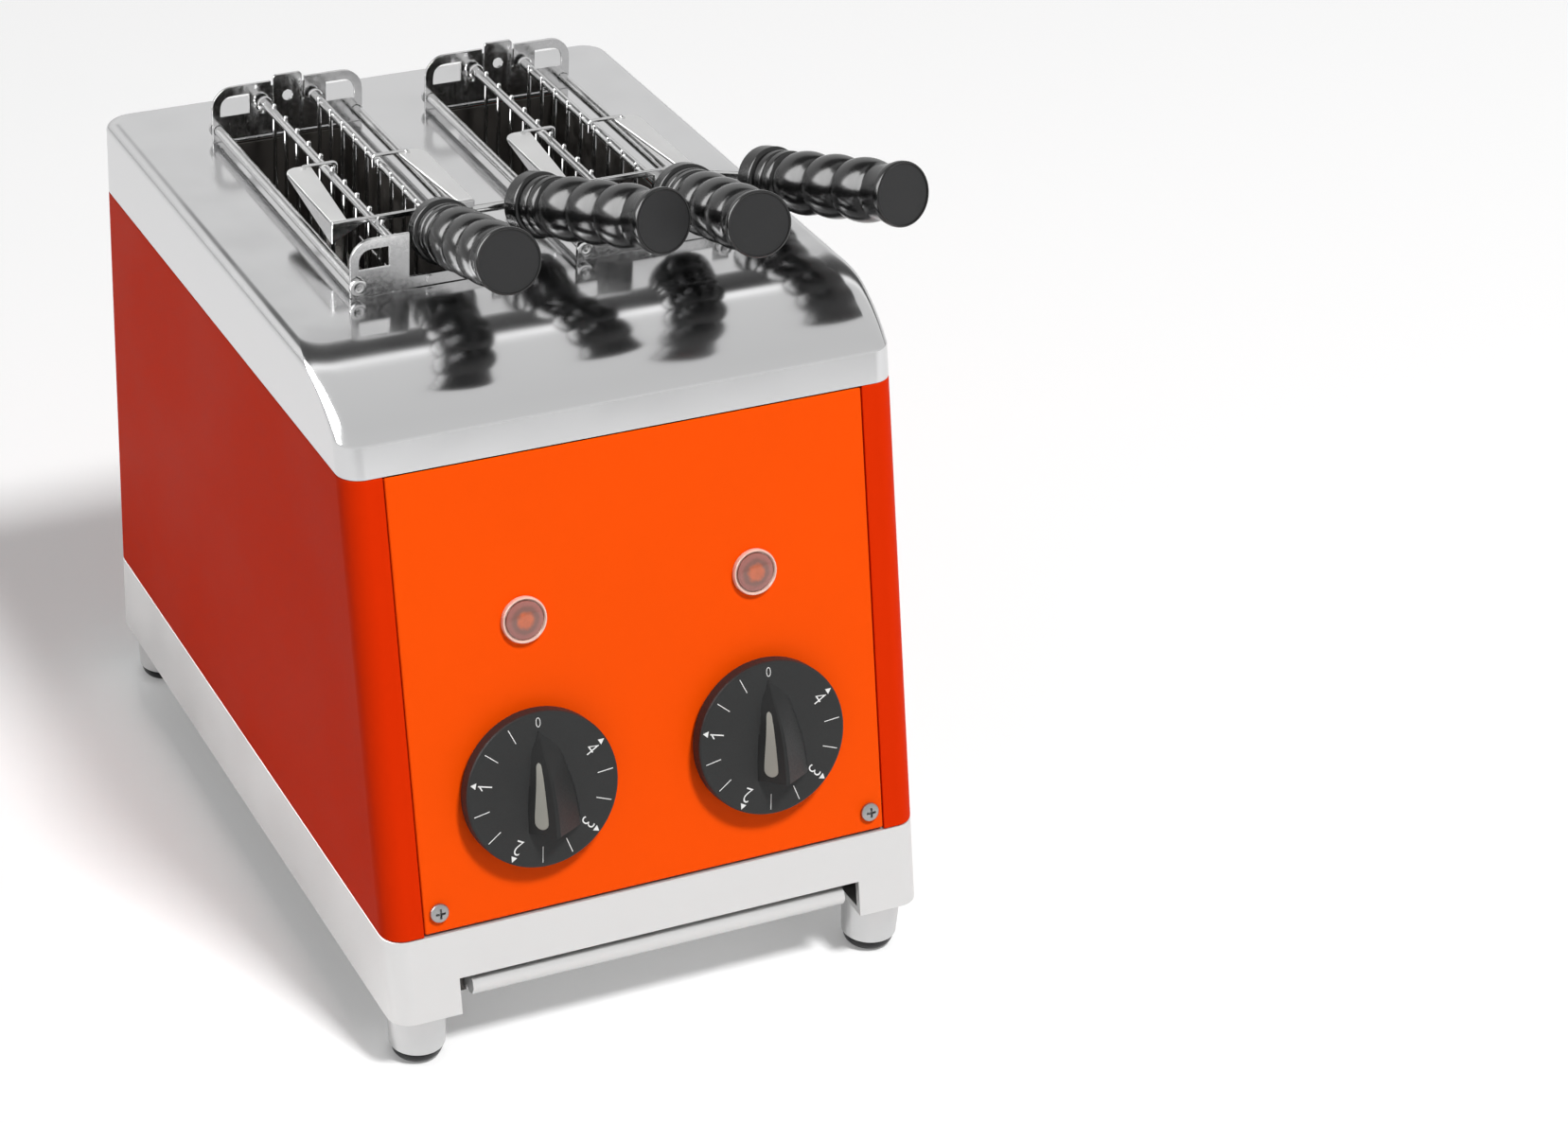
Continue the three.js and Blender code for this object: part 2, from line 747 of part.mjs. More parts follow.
// Polished cover: a curved front edge, rounded sides and two slots
function coverRings(wall, z0) {
  const top = coverTop - wall;
  const radius = coverCurveRadius - wall;
  const edge = coverEdgeRadius - wall / 2;
  const flatEdge = coverFlatEdge();
  const inset = (z) => wall + (z > top - edge ? edge - Math.sqrt(edge ** 2 - (z - top + edge) ** 2) : 0);
  const ring = (z, front) => {
    const shrink = inset(z) - wall;
    return planRing(z, halfWidth - wall - shrink, front, bodyRear - wall - shrink,
      Math.max(cornerRadius - wall, edge));
  };
  const planeFront = (z) => frontAt(z) + wall / leanCos;
  const crease = creasePoint(top, radius, flatEdge, planeFront);
  const bend = Math.PI / 2 - leanAngle - crease.angle;
  const reach = coverCreaseRadius * Math.tan(bend / 2);
  const low = { z: crease.z - reach * leanCos };
  low.y = planeFront(low.z);
  const highAngle = crease.angle - reach / radius;
  const high = { z: top - radius * (1 - Math.cos(highAngle)), y: flatEdge - radius * Math.sin(highAngle) };
  const rings = [ring(z0, planeFront(z0)), ring(low.z, low.y)];
  rings.push(ring((low.z + 2 * crease.z + high.z) / 4, (low.y + 2 * crease.y + high.y) / 4));
  for (let step = 0; step <= curveSteps; step += 1) {
    const angle = highAngle * (1 - step / curveSteps);
    rings.push(ring(top - radius * (1 - Math.cos(angle)), flatEdge - radius * Math.sin(angle)));
  }
  return rings;
}

function coverFlatEdge() {
  return frontAt(coverTop) + coverFlatSetback;
}

function creasePoint(top, radius, flatEdge, planeFront) {
  let [low, high] = [0, Math.PI / 2 - leanAngle];
  for (let step = 0; step < bisectSteps; step += 1) {
    const angle = (low + high) / 2;
    const z = top - radius * (1 - Math.cos(angle));
    if (flatEdge - radius * Math.sin(angle) > planeFront(z)) low = angle;
    else high = angle;
  }
  const z = top - radius * (1 - Math.cos(low));
  return { angle: low, z, y: planeFront(z) };
}

function topCover() {
  const outer = loft(coverRings(0, shellTop));
  const inner = loft(coverRings(coverWall, shellTop - cutOverrun));
  const slots = slotCentres.map((x) =>
    block(x - slotHalfWidth, x + slotHalfWidth, slotFront, slotRear, coverTop - coverWall - cutOverrun,
      coverTop + cutOverrun));
  return part("top_cover", "mirror", cut(outer, [inner, ...slots]));
}

// One heating chamber under each slot
function chamber(name, x) {
  const outerHalf = slotHalfWidth;
  const [y0, y1] = [slotFront, slotRear];
  const outer = block(x - outerHalf, x + outerHalf, y0, y1, chamberFloor, chamberCeiling);
  const innerHalf = outerHalf - chamberWall;
  const inner = block(x - innerHalf, x + innerHalf, y0 + chamberWall, y1 - chamberWall,
    chamberFloor - cutOverrun, chamberCeiling + cutOverrun);
  return part(name, "darkSteel", cut(outer, [inner]));
}

function heaterBank(name, x, side) {
  const wallInner = slotHalfWidth - chamberWall;
  const [y0, y1] = [slotFront + chamberWall + seatGap, slotRear - chamberWall - seatGap];
  const centre = x + side * heaterOffset;
  const holderOuter = x + side * (wallInner - seatGap);
  const holderInner = x + side * (heaterOffset - holderHalfWidth);
  const top = heaterBottom + (heaterCount - 1) * heaterPitch + holderMargin;
  const holders = [
    span([holderOuter, holderInner], [y0, y0 + holderWall], [heaterBottom - holderMargin, top]),
    span([holderOuter, holderInner], [y1 - holderWall, y1], [heaterBottom - holderMargin, top]),
  ];
  const tubes = [];
  for (let i = 0; i < heaterCount; i += 1) {
    const z = heaterBottom + i * heaterPitch;
    tubes.push(rodAlongY(centre, z, y0 + holderWall / 2, y1 - holderWall / 2, heaterRadius, rodSides));
  }
  return part(name, "quartz", join([...holders, ...tubes]));
}

// End bracket of a slot: a plate with two rounded ears, a hole and a ledge for the rails
function extrudeUpright(shape, y0, y1) {
  const geometry = new THREE.ExtrudeGeometry(shape, {
    depth: y1 - y0, bevelEnabled: false, curveSegments: cornerSteps + 1,
  });
  return geometry.rotateX(Math.PI / 2).translate(0, y1, 0);
}

function earShape(side) {
  const [inner, outer] = [side * windowInner, side * windowOuter];
  const ear = new THREE.Shape();
  ear.moveTo(inner, windowBottom);
  ear.lineTo(outer, windowBottom);
  ear.lineTo(outer, windowTop - windowCorner);
  ear.quadraticCurveTo(outer, windowTop, outer - side * windowCorner, windowTop);
  ear.lineTo(inner, windowTop);
  return ear;
}

function rodAlongY(x, z, y0, y1, radius, sides) {
  return rodBetween(vec(x, y0, z), vec(x, y1, z), radius, sides);
}

function ledgeUnder(inner, outer, nearFace, inward) {
  const top = ledgeTop - coverTop - bracketFoot;
  const [y0, y1] = [nearFace - inward * bracketWall / 2, nearFace + inward * ledgeDepth];
  return span([inner, outer], [y0, y1], [top - ledgeWall, top]);
}

function rodHoles(through) {
  return [-1, 1].map((side) =>
    rodAlongY(side * outerRodOffset, outerRodHeight, ...through, outerRodRadius + seatGap, rodSides));
}

// Rear end of a slot: two arched ears beside a taller middle tab, and a ledge for the left rail
function rearBracket(name, x) {
  const through = [-cutOverrun, bracketWall + cutOverrun];
  const ears = extrudeUpright(plateShape(bracketHalfWidth, bracketHeight, bracketCorner), 0, bracketWall);
  const tab = extrudeUpright(plateShape(tabHalfWidth, tabHeight, tabCorner), 0, bracketWall);
  const tools = [rodAlongY(0, tabHoleHeight, ...through, tabHoleRadius, roundSides / 2), ...rodHoles(through)];
  for (const side of [-1, 1]) {
    tools.push(extrudeUpright(earShape(side), ...through));
    const [near, far] = [side * tabHalfWidth, side * (tabHalfWidth + tabSlitWidth)];
    tools.push(span([near, far], through, [tabSlitBottom, tabHeight + cutOverrun]));
  }
  const ledge = ledgeUnder(-railOffset - railRadius * 2, -tabHalfWidth - tabSlitWidth, 0, -1);
  const mesh = part(name, "chrome", join([cut(join([ears, tab]), tools), ledge]));
  mesh.position.set(x, plateRear, coverTop + bracketFoot);
  return mesh;
}

// Front end of a slot: low in the middle where a handle passes over it, with an ear or a post on the left
function frontBracket(name, x, arched) {
  const through = [-cutOverrun, bracketWall + cutOverrun];
  const high = bracketHeight + cutOverrun;
  const tools = [
    block(-postInner, lugInner, ...through, lowWallHeight, high),
    block(lugInner - cutOverrun, bracketHalfWidth + cutOverrun, ...through, lugHeight, high),
    ...rodHoles(through),
  ];
  if (arched) tools.push(extrudeUpright(earShape(-1), ...through));
  else tools.push(block(-bracketHalfWidth - cutOverrun, -postOuter, ...through, lugHeight, high));
  const plate = extrudeUpright(plateShape(bracketHalfWidth, bracketHeight, bracketCorner), 0, bracketWall);
  const ledge = ledgeUnder(-railOffset - railRadius * 2, -postInner, bracketWall, 1);
  const screwReach = [-bracketScrewProud, bracketWall / 2];
  const screw = rodAlongY(0, bracketScrewHeight, ...screwReach, bracketScrewRadius, roundSides / 2);
  const mesh = part(name, "chrome", join([cut(plate, tools), ledge, screw]));
  mesh.position.set(x, plateFront, coverTop + bracketFoot);
  return mesh;
}

function outerRod(name, x) {
  const z = coverTop + bracketFoot + outerRodHeight;
  const headGap = seatGap;
  const [front, rear] = [plateFront - headGap, plateRear + bracketWall + headGap];
  const pieces = [
    rodAlongY(x, z, front - rodHeadLength / 2, rear + rodHeadLength / 2, outerRodRadius, rodSides),
    rodAlongY(x, z, front - rodHeadLength, front, rodHeadRadius, roundSides / 2),
    rodAlongY(x, z, rear, rear + rodHeadLength, rodHeadRadius, roundSides / 2),
  ];
  const tip = front - rodHeadLength;
  const socket = rodAlongY(x, z, tip - cutOverrun, tip + rodSocketDepth, rodSocket, socketSides);
  return part(name, "chrome", cut(join(pieces), [socket]));
}

// Wire grid of one tong half: a rail along the slot and the wires that hang from it
function tongGrid(name, x, side) {
  const railX = x + side * railOffset;
  const wireX = railX - side * wireInset;
  const topRailFront = side < 0 ? railFront : shortRailFront;
  const pieces = [
    rodAlongY(railX, railZ, topRailFront, railRear, railRadius, socketSides),
    rodAlongY(wireX, gridBottom, gridFront, gridRear, bottomRailRadius, socketSides),
  ];
  const crossPitch = gridDepth / (crossWireCount + 1);
  const topCross = railZ - crossPitch;
  const count = Math.floor((gridRear - gridFront - wirePitch / 2) / wirePitch) + 1;
  const start = (gridFront + gridRear - (count - 1) * wirePitch) / 2;
  for (let i = 0; i < count; i += 1) {
    const y = start + i * wirePitch;
    const top = y > topRailFront ? railZ + railRadius + wireRise : topCross + wireRadius / 2;
    pieces.push(rodBetween(vec(wireX, y, gridBottom), vec(wireX, y, top), wireRadius, wireSides));
  }
  const crossReach = [start - wirePitch / 4, start + (count - 1) * wirePitch + wirePitch / 4];
  for (let i = 1; i <= crossWireCount; i += 1) {
    pieces.push(rodAlongY(wireX, gridBottom + i * crossPitch, ...crossReach, crossWireRadius, wireSides));
  }
  const hingeY = railRear - hingeSetback;
  const eyeZ = side < 0 ? gridBottom - hingeEyeHeight : gridBottom + seatGap;
  const armHalf = hingeEye * hingeArmShare;
  const armEnd = wireX + (side * bottomRailRadius) / 2;
  pieces.push(span([x, armEnd], [hingeY - armHalf, hingeY + armHalf], [eyeZ, eyeZ + hingeEyeHeight]));
  pieces.push(discZ(hingeEye, eyeZ, eyeZ + hingeEyeHeight, roundSides / 2).translate(x, hingeY, 0));
  const pinTop = gridBottom + hingeEyeHeight * 2;
  if (side < 0) {
    pieces.push(discZ(hingeRadius, eyeZ, pinTop, rodSides).translate(x, hingeY, 0));
    return part(name, "chrome", join(pieces));
  }
  const bore = discZ(hingeRadius + seatGap, eyeZ - cutOverrun, pinTop + cutOverrun, rodSides);
  return part(name, "chrome", cut(join(pieces), [bore.translate(x, hingeY, 0)]));
}

function handlePlace(x, key) {
  const { aside, ahead, rise, yaw } = handles[key];
  const turn = THREE.MathUtils.degToRad(yaw);
  const flat = Math.cos(handlePitch);
  const direction = vec(Math.sin(turn) * flat, -Math.cos(turn) * flat, Math.sin(handlePitch));
  return { root: vec(x + aside, leafFront - ahead, coverTop + rise), direction };
}

// Bent bracket of one tong half: leaf, front bar, staple over the rail and stub for the handle
function tongBracket(name, x, side, key) {
  const railX = x + side * railOffset;
  const outer = x + side * leafOuter;
  const leafRear = leafFront + leafLength;
  const shape = new THREE.Shape();
  const corner = leafRearWidth * leafCornerShare;
  shape.moveTo(outer, leafFront);
  shape.lineTo(outer - side * leafFrontWidth, leafFront);
  shape.lineTo(outer - side * leafRearWidth, leafRear);
  shape.lineTo(outer - side * corner, leafRear);
  shape.quadraticCurveTo(outer, leafRear, outer, leafRear - corner);
  const sheet = { depth: leafWall, bevelEnabled: false, curveSegments: domeSteps };
  const leaf = new THREE.ExtrudeGeometry(shape, sheet).translate(0, 0, leafZ);
  const top = leafZ + leafWall;
  const gusset = new THREE.Shape();
  gusset.moveTo(leafFront, top);
  gusset.lineTo(leafFront, top - barDrop);
  gusset.lineTo(leafRear - corner, leafZ);
  gusset.lineTo(leafRear - corner, top);
  const web = new THREE.ExtrudeGeometry(gusset, sheet);
  web.applyMatrix4(new THREE.Matrix4().makeBasis(vec(0, 1, 0), vec(0, 0, 1), vec(1, 0, 0)));
  web.translate(side < 0 ? outer : outer - leafWall, 0, 0);
  const { root, direction } = handlePlace(x, key);
  const barMiddle = leafFront - barWall / 2;
  const back = root.clone().addScaledVector(direction, -(root.y - barMiddle) / direction.y);
  const barEnd = back.x + barWall / 2;
  const bar = block(outer, barEnd, leafFront - barWall, leafFront + seatGap, top - barDrop, top);
  const arm = rodBetween(vec(outer - leafWall, barMiddle, top - barDrop / 2), back, armRadius, rodSides);
  const reach = [leafFront - barWall - cutOverrun, leafFront + cutOverrun];
  const notch = rodAlongY(railX, railZ, ...reach, railRadius + barNotchGap, roundSides / 2);
  const notchHalf = railRadius + barNotchGap + wireInset;
  const clear = block(railX - notchHalf, railX + notchHalf, ...reach, top - barDrop - cutOverrun, railZ);
  const stub = rodBetween(back, root.clone().addScaledVector(direction, stubDepth), stubRadius, rodSides);
  const stapleY = leafRear - stapleSetback;
  const stapleZ = railZ + railRadius + stapleRadius + barNotchGap;
  const legX = railX - side * (wireInset + wireRadius + stapleRadius + barNotchGap);
  const leafX = outer - side * (leafRearWidth - stapleRadius);
  const legTop = vec(legX, stapleY, stapleZ);
  const legFoot = vec(legX, stapleY, stapleZ - stapleDrop);
  const crossStart = vec(legX - side * stapleRadius, stapleY, stapleZ);
  const staple = [
    rodBetween(crossStart, vec(leafX, stapleY, stapleZ), stapleRadius, socketSides),
    rodBetween(legTop, legFoot, stapleRadius, socketSides),
  ];
  const carrier = side < 0 ? cut(bar, [notch, clear]) : arm;
  return part(name, "chrome", join([leaf, web, carrier, stub, ...staple]));
}

function handle(name, x, key) {
  const profile = [[0, 0], [handleCollarRadius * collarEdgeShare, 0]];
  for (const [radiusShare, lengthShare] of collarShares) {
    profile.push([handleCollarRadius * radiusShare, handleCollarLength * lengthShare]);
  }
  profile.push([handleGrooveRadius, handleCollarLength]);
  const swellHeight = handleBeadRadius - handleGrooveRadius;
  for (let step = 1; step <= handleBeadCount * beadSteps; step += 1) {
    const along = step / beadSteps;
    const swell = swellHeight * Math.sin((along % 1) * Math.PI) ** beadPowerShare;
    profile.push([handleGrooveRadius + swell, handleCollarLength + along * handleBeadLength]);
  }
  const flareStart = handleCollarLength + handleBeadCount * handleBeadLength;
  const flareLength = (handleLength - flareStart) * flareShare;
  const flareRise = handleCapRadius - handleGrooveRadius;
  for (let step = 1; step <= domeSteps; step += 1) {
    const t = step / domeSteps;
    profile.push([handleGrooveRadius + flareRise * t * t, flareStart + flareLength * t]);
  }
  const rim = handleCapRadius - handleCapRim;
  const recessFloor = handleLength - handleCapRecess;
  profile.push([handleCapRadius, handleLength - handleCapRim / 2]);
  profile.push([handleCapRadius - handleCapRim / 2, handleLength]);
  profile.push([rim, handleLength], [rim, recessFloor], [0, recessFloor]);
  const bore = discZ(stubRadius + seatGap, -cutOverrun, stubDepth + seatGap, rodSides);
  const mesh = part(name, "gloss", cut(latheZ(profile, handleSides), [bore]));
  const { root, direction } = handlePlace(x, key);
  mesh.quaternion.setFromUnitVectors(vec(0, 0, 1), direction);
  mesh.position.copy(root);
  return mesh;
}

// The whole toaster
const product = new THREE.Group();
const toaster = new THREE.Group();
toaster.position.set(-outlineShiftX, -outlineShiftY, 0);
product.add(toaster);
toaster.add(baseSkirt(), ...feet(), chassisFloor(), crumbTray(), shell(), cordGland(), topCover());

const panel = panelGroup();
panel.add(frontPanel());
for (const [sideName, side] of [["left", -1], ["right", 1]]) {
  panel.add(panelScrew(`panel_screw_${sideName}`, side * panelScrewSpacing / 2));
  panel.add(...lamp(`lamp_${sideName}`, side * lampSpacing / 2));
  panel.add(...timer(`timer_${sideName}`, side * dialSpacing / 2));
  panel.add(dial(`dial_${sideName}`, side * dialSpacing / 2));
  panel.add(dialInsert(`dial_${sideName}_insert`, side * dialSpacing / 2));
}
toaster.add(panel);

slotCentres.forEach((x, index) => {
  const slot = index === 0 ? "left" : "right";
  toaster.add(chamber(`chamber_${slot}`, x));
  toaster.add(frontBracket(`front_bracket_${slot}`, x, index === 0));
  toaster.add(rearBracket(`rear_bracket_${slot}`, x));
  for (const [sideName, side] of [["left", -1], ["right", 1]]) {
    const key = `${slot}_${sideName}`;
    toaster.add(heaterBank(`heater_${key}`, x, side));
    toaster.add(outerRod(`outer_rod_${key}`, x + side * outerRodOffset));
    toaster.add(tongGrid(`tong_${key}_grid`, x, side));
    toaster.add(tongBracket(`tong_${key}_bracket`, x, side, key));
    toaster.add(handle(`tong_${key}_handle`, x, key));
  }
});

export default product;
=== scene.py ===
"""Two-slot tong toaster: finishes and fine shapes, laid out as an add-on."""

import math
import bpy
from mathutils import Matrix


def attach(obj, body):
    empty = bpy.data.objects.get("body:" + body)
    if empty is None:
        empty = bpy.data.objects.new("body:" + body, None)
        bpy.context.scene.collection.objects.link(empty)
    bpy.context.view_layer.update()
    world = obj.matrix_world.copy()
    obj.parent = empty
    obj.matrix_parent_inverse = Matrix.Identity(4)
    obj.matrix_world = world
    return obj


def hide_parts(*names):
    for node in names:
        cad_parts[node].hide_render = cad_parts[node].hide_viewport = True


bl_info = {
    "name": "Tong Toaster",
    "version": (1, 0, 0),
    "blender": (4, 5, 0),
    "location": "View3D > Sidebar > Toaster",
    "description": "Dresses a two-slot toaster with tongs, dials, lamps and a crumb tray",
    "category": "Object",
}

import bmesh
import bpy
from bpy.props import FloatProperty, FloatVectorProperty, PointerProperty
from mathutils import Matrix, Vector

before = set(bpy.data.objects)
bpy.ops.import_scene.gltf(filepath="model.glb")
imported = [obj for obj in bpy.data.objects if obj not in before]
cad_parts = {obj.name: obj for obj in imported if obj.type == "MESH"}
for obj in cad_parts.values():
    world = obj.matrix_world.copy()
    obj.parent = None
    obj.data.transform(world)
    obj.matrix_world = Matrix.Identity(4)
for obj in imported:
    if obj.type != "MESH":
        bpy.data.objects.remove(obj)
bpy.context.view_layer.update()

MM = 0.001
SIDES = (("left", -1), ("right", 1))

# Sizes of the housing, in millimetres from the middle of the housing
SHIFT = Vector((-8.65, 1.29, 0))
TO_FRAME = Matrix.Scale(MM, 4) @ Matrix.Translation(SHIFT)
HALF_WIDTH = 120
BODY_FRONT = -169.5
BODY_REAR = 171.5
LEAN = math.radians(13.57)
CORNER = 9.5
BASE_BOTTOM = 25.5
BASE_TOP = 61
BASE_WALL = 3
BASE_ROUNDING = 0.35
SHELL_TOP = 248.1
SHELL_ROUNDING = 0.5
SHEET = 1.6
COVER_TOP = 282.1
FLANGE = 16.1
SEAM = 1
SEAT = 0.3
TRAY_OPENING = {"half": 90.5, "height": 15.2, "depth": 36.5}
HATCH = {"half": 93, "height": 9, "front": 30.5, "rear": 27}
INLET = {"across": 70, "rise": 22, "radius": 8.3}

# How far a cutting piece reaches past what it cuts
PAST = 6

# Cover
CURVE_RADIUS = 68
CREASE_RADIUS = 2
EDGE_RADIUS = 5
FLAT_SETBACK = 44
COVER_WALL = 1.5
SLOTS = (-49.6, 49.6)
SLOT_HALF = 27.2
SLOT_SPAN = (-38, 124)
SLOT_DEPTH = 8

# Controls on the sloping panel
DIAL = {"across": 51, "up": 54.5, "radius": 32.97, "gap": 1, "thick": 6.8, "chamfer": 0.6, "sunk": 0.5}
DIAL_TOP = DIAL["gap"] + DIAL["thick"]
LAMP = {"across": 50.75, "up": 124.2, "radius": 9.7}
SCREW = {"across": 97, "up": 9.6, "radius": 4}
PANEL_HALF = HALF_WIDTH - FLANGE - SEAM / 2
PANEL_SLANT = (SHELL_TOP - BASE_TOP) / math.cos(LEAN) - 2 * SEAT
PANEL_DEPTH = 9.9

# Along a dial's grip from tip to tail: place, left reach, right reach and rise
GRIP_STATIONS = (
    (25, 0.25, 0.3, 0.5), (21.5, 2.4, 4.2, 1.3), (18, 4.2, 7.6, 2.6), (13.5, 5.0, 9.7, 5.0),
    (9, 5.6, 11.0, 7.2), (3, 6.4, 12.7, 9.2), (-2, 7.0, 14.0, 10.1), (-8, 7.6, 14.8, 10.8),
    (-13, 7.8, 15.3, 11.1), (-17, 8.0, 15.5, 11.0),
)
INSERT = {"start": 12.8, "length": 27.2, "lift": 0.28, "sunk": -0.3}

# Marks on a dial: half their thickness, how far out the numbers stand, and two outlines
MARK_HALF = 0.04
NUMBER_STEP = 75
NUMBER_REACH = 25.2
ZERO_REACH = 28.4
TRIANGLE = ((-1.35, 29.6), (1.35, 29.6), (0, 32.0))
FLAG = ((-0.1, 28.3), (-1.9, 26.7), (-1.6, 26.35), (-0.1, 27.5))

# Slot hardware
BRACKET_FRONT = SLOT_SPAN[0] - 1.8
ROD = {"aside": 31.8, "rise": 5.3, "radius": 2.25, "head": 3.6, "head_length": 2, "past": 2.1}
RAIL = {"aside": 11.6, "rise": 16, "radius": 1.9, "rear": 122.5, "front": -36.5, "short": -6}
GRID = {
    "front": -32.1, "rear": 118.1, "depth": 128, "pitch": 14, "inset": 1.3, "above": 0.35,
    "low_rail": 1.6, "cross": 0.75, "hinge": 9, "eye": 4.2, "eye_height": 3, "arm": 2.9, "ring": 3.3,
}
HANDLES = {
    "left_left": (11.4, 12, 14.3, -5),
    "left_right": (53.7, 7.3, 16.9, 12),
    "right_left": (15.1, 25, 18.4, -6.5),
    "right_right": (57, 15, 14.8, 11.5),
}
HANDLE_PITCH = math.radians(16.8)
LEAF = {
    "front": -9, "length": 55, "outer": 31.2, "narrow": 7, "wide": 12, "wall": 1.6, "rise": 2.2,
    "corner": 5.4, "bar": 2, "strip": 2.6, "drop": 9.6, "fold": 13, "arm": 1.9, "stub": 2.6,
}
GRIP = {
    "length": 93, "start": 21.4, "pitch": 19, "beads": 3, "cap": 13.34, "cap_length": 2.6, "dish": 0.6,
    "collar": (
        (12.4, 0), (13.3, 0.35), (13.7, 1), (13.8, 1.8), (13.8, 7.9), (13.65, 8.6), (13.2, 9), (12.3, 9.2),
        (12.2, 9.7), (12.5, 10.3), (12.6, 11.4), (12.6, 14), (12.4, 14.8), (11.9, 15.2), (11.9, 15.5),
        (12.4, 15.9), (12.6, 16.8), (12.6, 19.2), (12.4, 20.3), (11.8, 21), (11.2, 21.4),
    ),
    "rim": ((0, 0.9), (0.2, 0.25), (0.6, 0), (0.95, 0.2), (1, 0.6)),
}

# Feet: their places, and the profiles of the metal and the rubber
FEET = {
    "front_left": (-104, -162.07),
    "front_right": (104, -162.07),
    "rear_left": (-104, 155.5),
    "rear_right": (104, 155.5),
}
FOOT = (
    (0, 5.2), (10.6, 5.2), (11.5, 5.9), (11.7, 6.4), (12.5, 24.4), (12.2, 25.1), (11.7, 25.2), (3, 25.2),
    (3, 28.6), (0, 28.6),
)
FOOT_TIP = (
    (0, 0), (6.7, 0), (8.0, 0.35), (9.2, 1.1), (10.1, 2.2), (10.6, 3.4), (10.75, 4.9), (0, 4.9),
)

# Stage: the camera in degrees, millimetres and the photograph's pixels, the lights, and greys by height
PHOTO_WIDTH = 1657
SENSOR = 36
CAMERA = {
    "azimuth": -23.98, "elevation": 30.1155, "roll": 1.1485, "place": (-579.6, -1324.71, 960.09),
    "focal": 4049.69, "middle": 549, "near": 0.05, "far": 60,
}
LIGHTS = (
    ("key", (0.16, -0.47, 0.87), 6, 1.0, 320, True),
    ("gloss", (-0.75, 0.28, 0.6), 1.6, 1.5, 66, False),
)
AIM = Vector((0, 0, 0.15))
FLOOR_REACH = 12
AMBIENT = 0.27
STUDIO = (
    (0.0, 0.7), (0.1, 0.86), (0.164, 0.88), (0.172, 0.13), (0.26, 0.055), (0.288, 0.06), (0.306, 1.35),
    (0.328, 1.25), (0.352, 0.8), (0.62, 0.74), (1.0, 0.9),
)


def sizes():
    return bpy.context.scene.toaster_sizes


def colours():
    return bpy.context.scene.toaster_colours


# Meshes


def front_at(z):
    return BODY_FRONT + (z - BASE_TOP) * math.tan(LEAN)


def new_object(name, data):
    piece = bpy.data.objects.new(name, data)
    bpy.context.scene.collection.objects.link(piece)
    return piece


def solid(name, points, faces):
    """A closed mesh from points in housing millimetres."""
    mesh = bpy.data.meshes.new(name)
    mesh.from_pydata([TO_FRAME @ Vector(p) for p in points], [], faces)
    work = bmesh.new()
    work.from_mesh(mesh)
    bmesh.ops.remove_doubles(work, verts=work.verts, dist=1e-7)
    bmesh.ops.recalc_face_normals(work, faces=work.faces)
    work.to_mesh(mesh)
    work.free()
    return new_object(name, mesh)


def loft(name, rings):
    """A closed piece through rings that have the same number of points."""
    count = len(rings[0])
    last = (len(rings) - 1) * count
    faces = []
    for row in range(0, last, count):
        for i in range(count):
            j = (i + 1) % count
            faces.append((row + i, row + j, row + count + j, row + count + i))
    faces += [tuple(reversed(range(count))), tuple(range(last, last + count))]
    return solid(name, [p for ring in rings for p in ring], faces)


def arc(steps):
    return [step / steps for step in range(steps + 1)]


def quarter(steps):
    return [t * math.pi / 2 for t in arc(steps)]


def dome(flat, radius, base, rise, steps):
    """The profile of a rounded end: a quarter of an ellipse round a flat middle."""
    return [(flat + radius * math.cos(t), base + rise * math.sin(t)) for t in quarter(steps)[1:]]


def plan_ring(z, half, front, rear, radius, steps=10):
    corners = (
        (half - radius, front + radius, -90),
        (half - radius, rear - radius, 0),
        (-half + radius, rear - radius, 90),
        (-half + radius, front + radius, 180),
    )
    ring = []
    for x, y, start in corners:
        for t in arc(steps):
            turn = math.radians(start + 90 * t)
            ring.append((x + radius * math.cos(turn), y + radius * math.sin(turn), z))
    return ring


def body_ring(z, inset):
    front = front_at(z) + inset / math.cos(LEAN)
    return plan_ring(z, HALF_WIDTH - inset, front, BODY_REAR - inset, max(CORNER - inset, 0.5))


def soft_rings(low, high, edge):
    """Rings between two heights whose lower and upper edges are rounded by edge."""
    steps = [(edge * (1 - math.sin(turn)), edge * (1 - math.cos(turn))) for turn in quarter(4)]
    rings = [body_ring(low + rise, inset) for rise, inset in reversed(steps)]
    return rings + [body_ring(high - rise, inset) for rise, inset in steps]


def prism(name, plan, low, high, matrix=Matrix()):
    """A plate with its outline in X and Y, where a matrix may turn and move it."""
    return loft(name, [[matrix @ Vector((x, y, z)) for x, y in plan] for z in (low, high)])


def block(name, x0, x1, y0, y1, z0, z1, matrix=Matrix()):
    return prism(name, ((x0, y0), (x1, y0), (x1, y1), (x0, y1)), z0, z1, matrix)


def upright(name, outline, front, rear):
    """A plate with its outline in X and Z."""
    return loft(name, [[(x, y, z) for x, z in outline] for y in (front, rear)])


def sideways(name, outline, first, second):
    """A plate with its outline in Y and Z."""
    return loft(name, [[(x, y, z) for y, z in outline] for x in (first, second)])


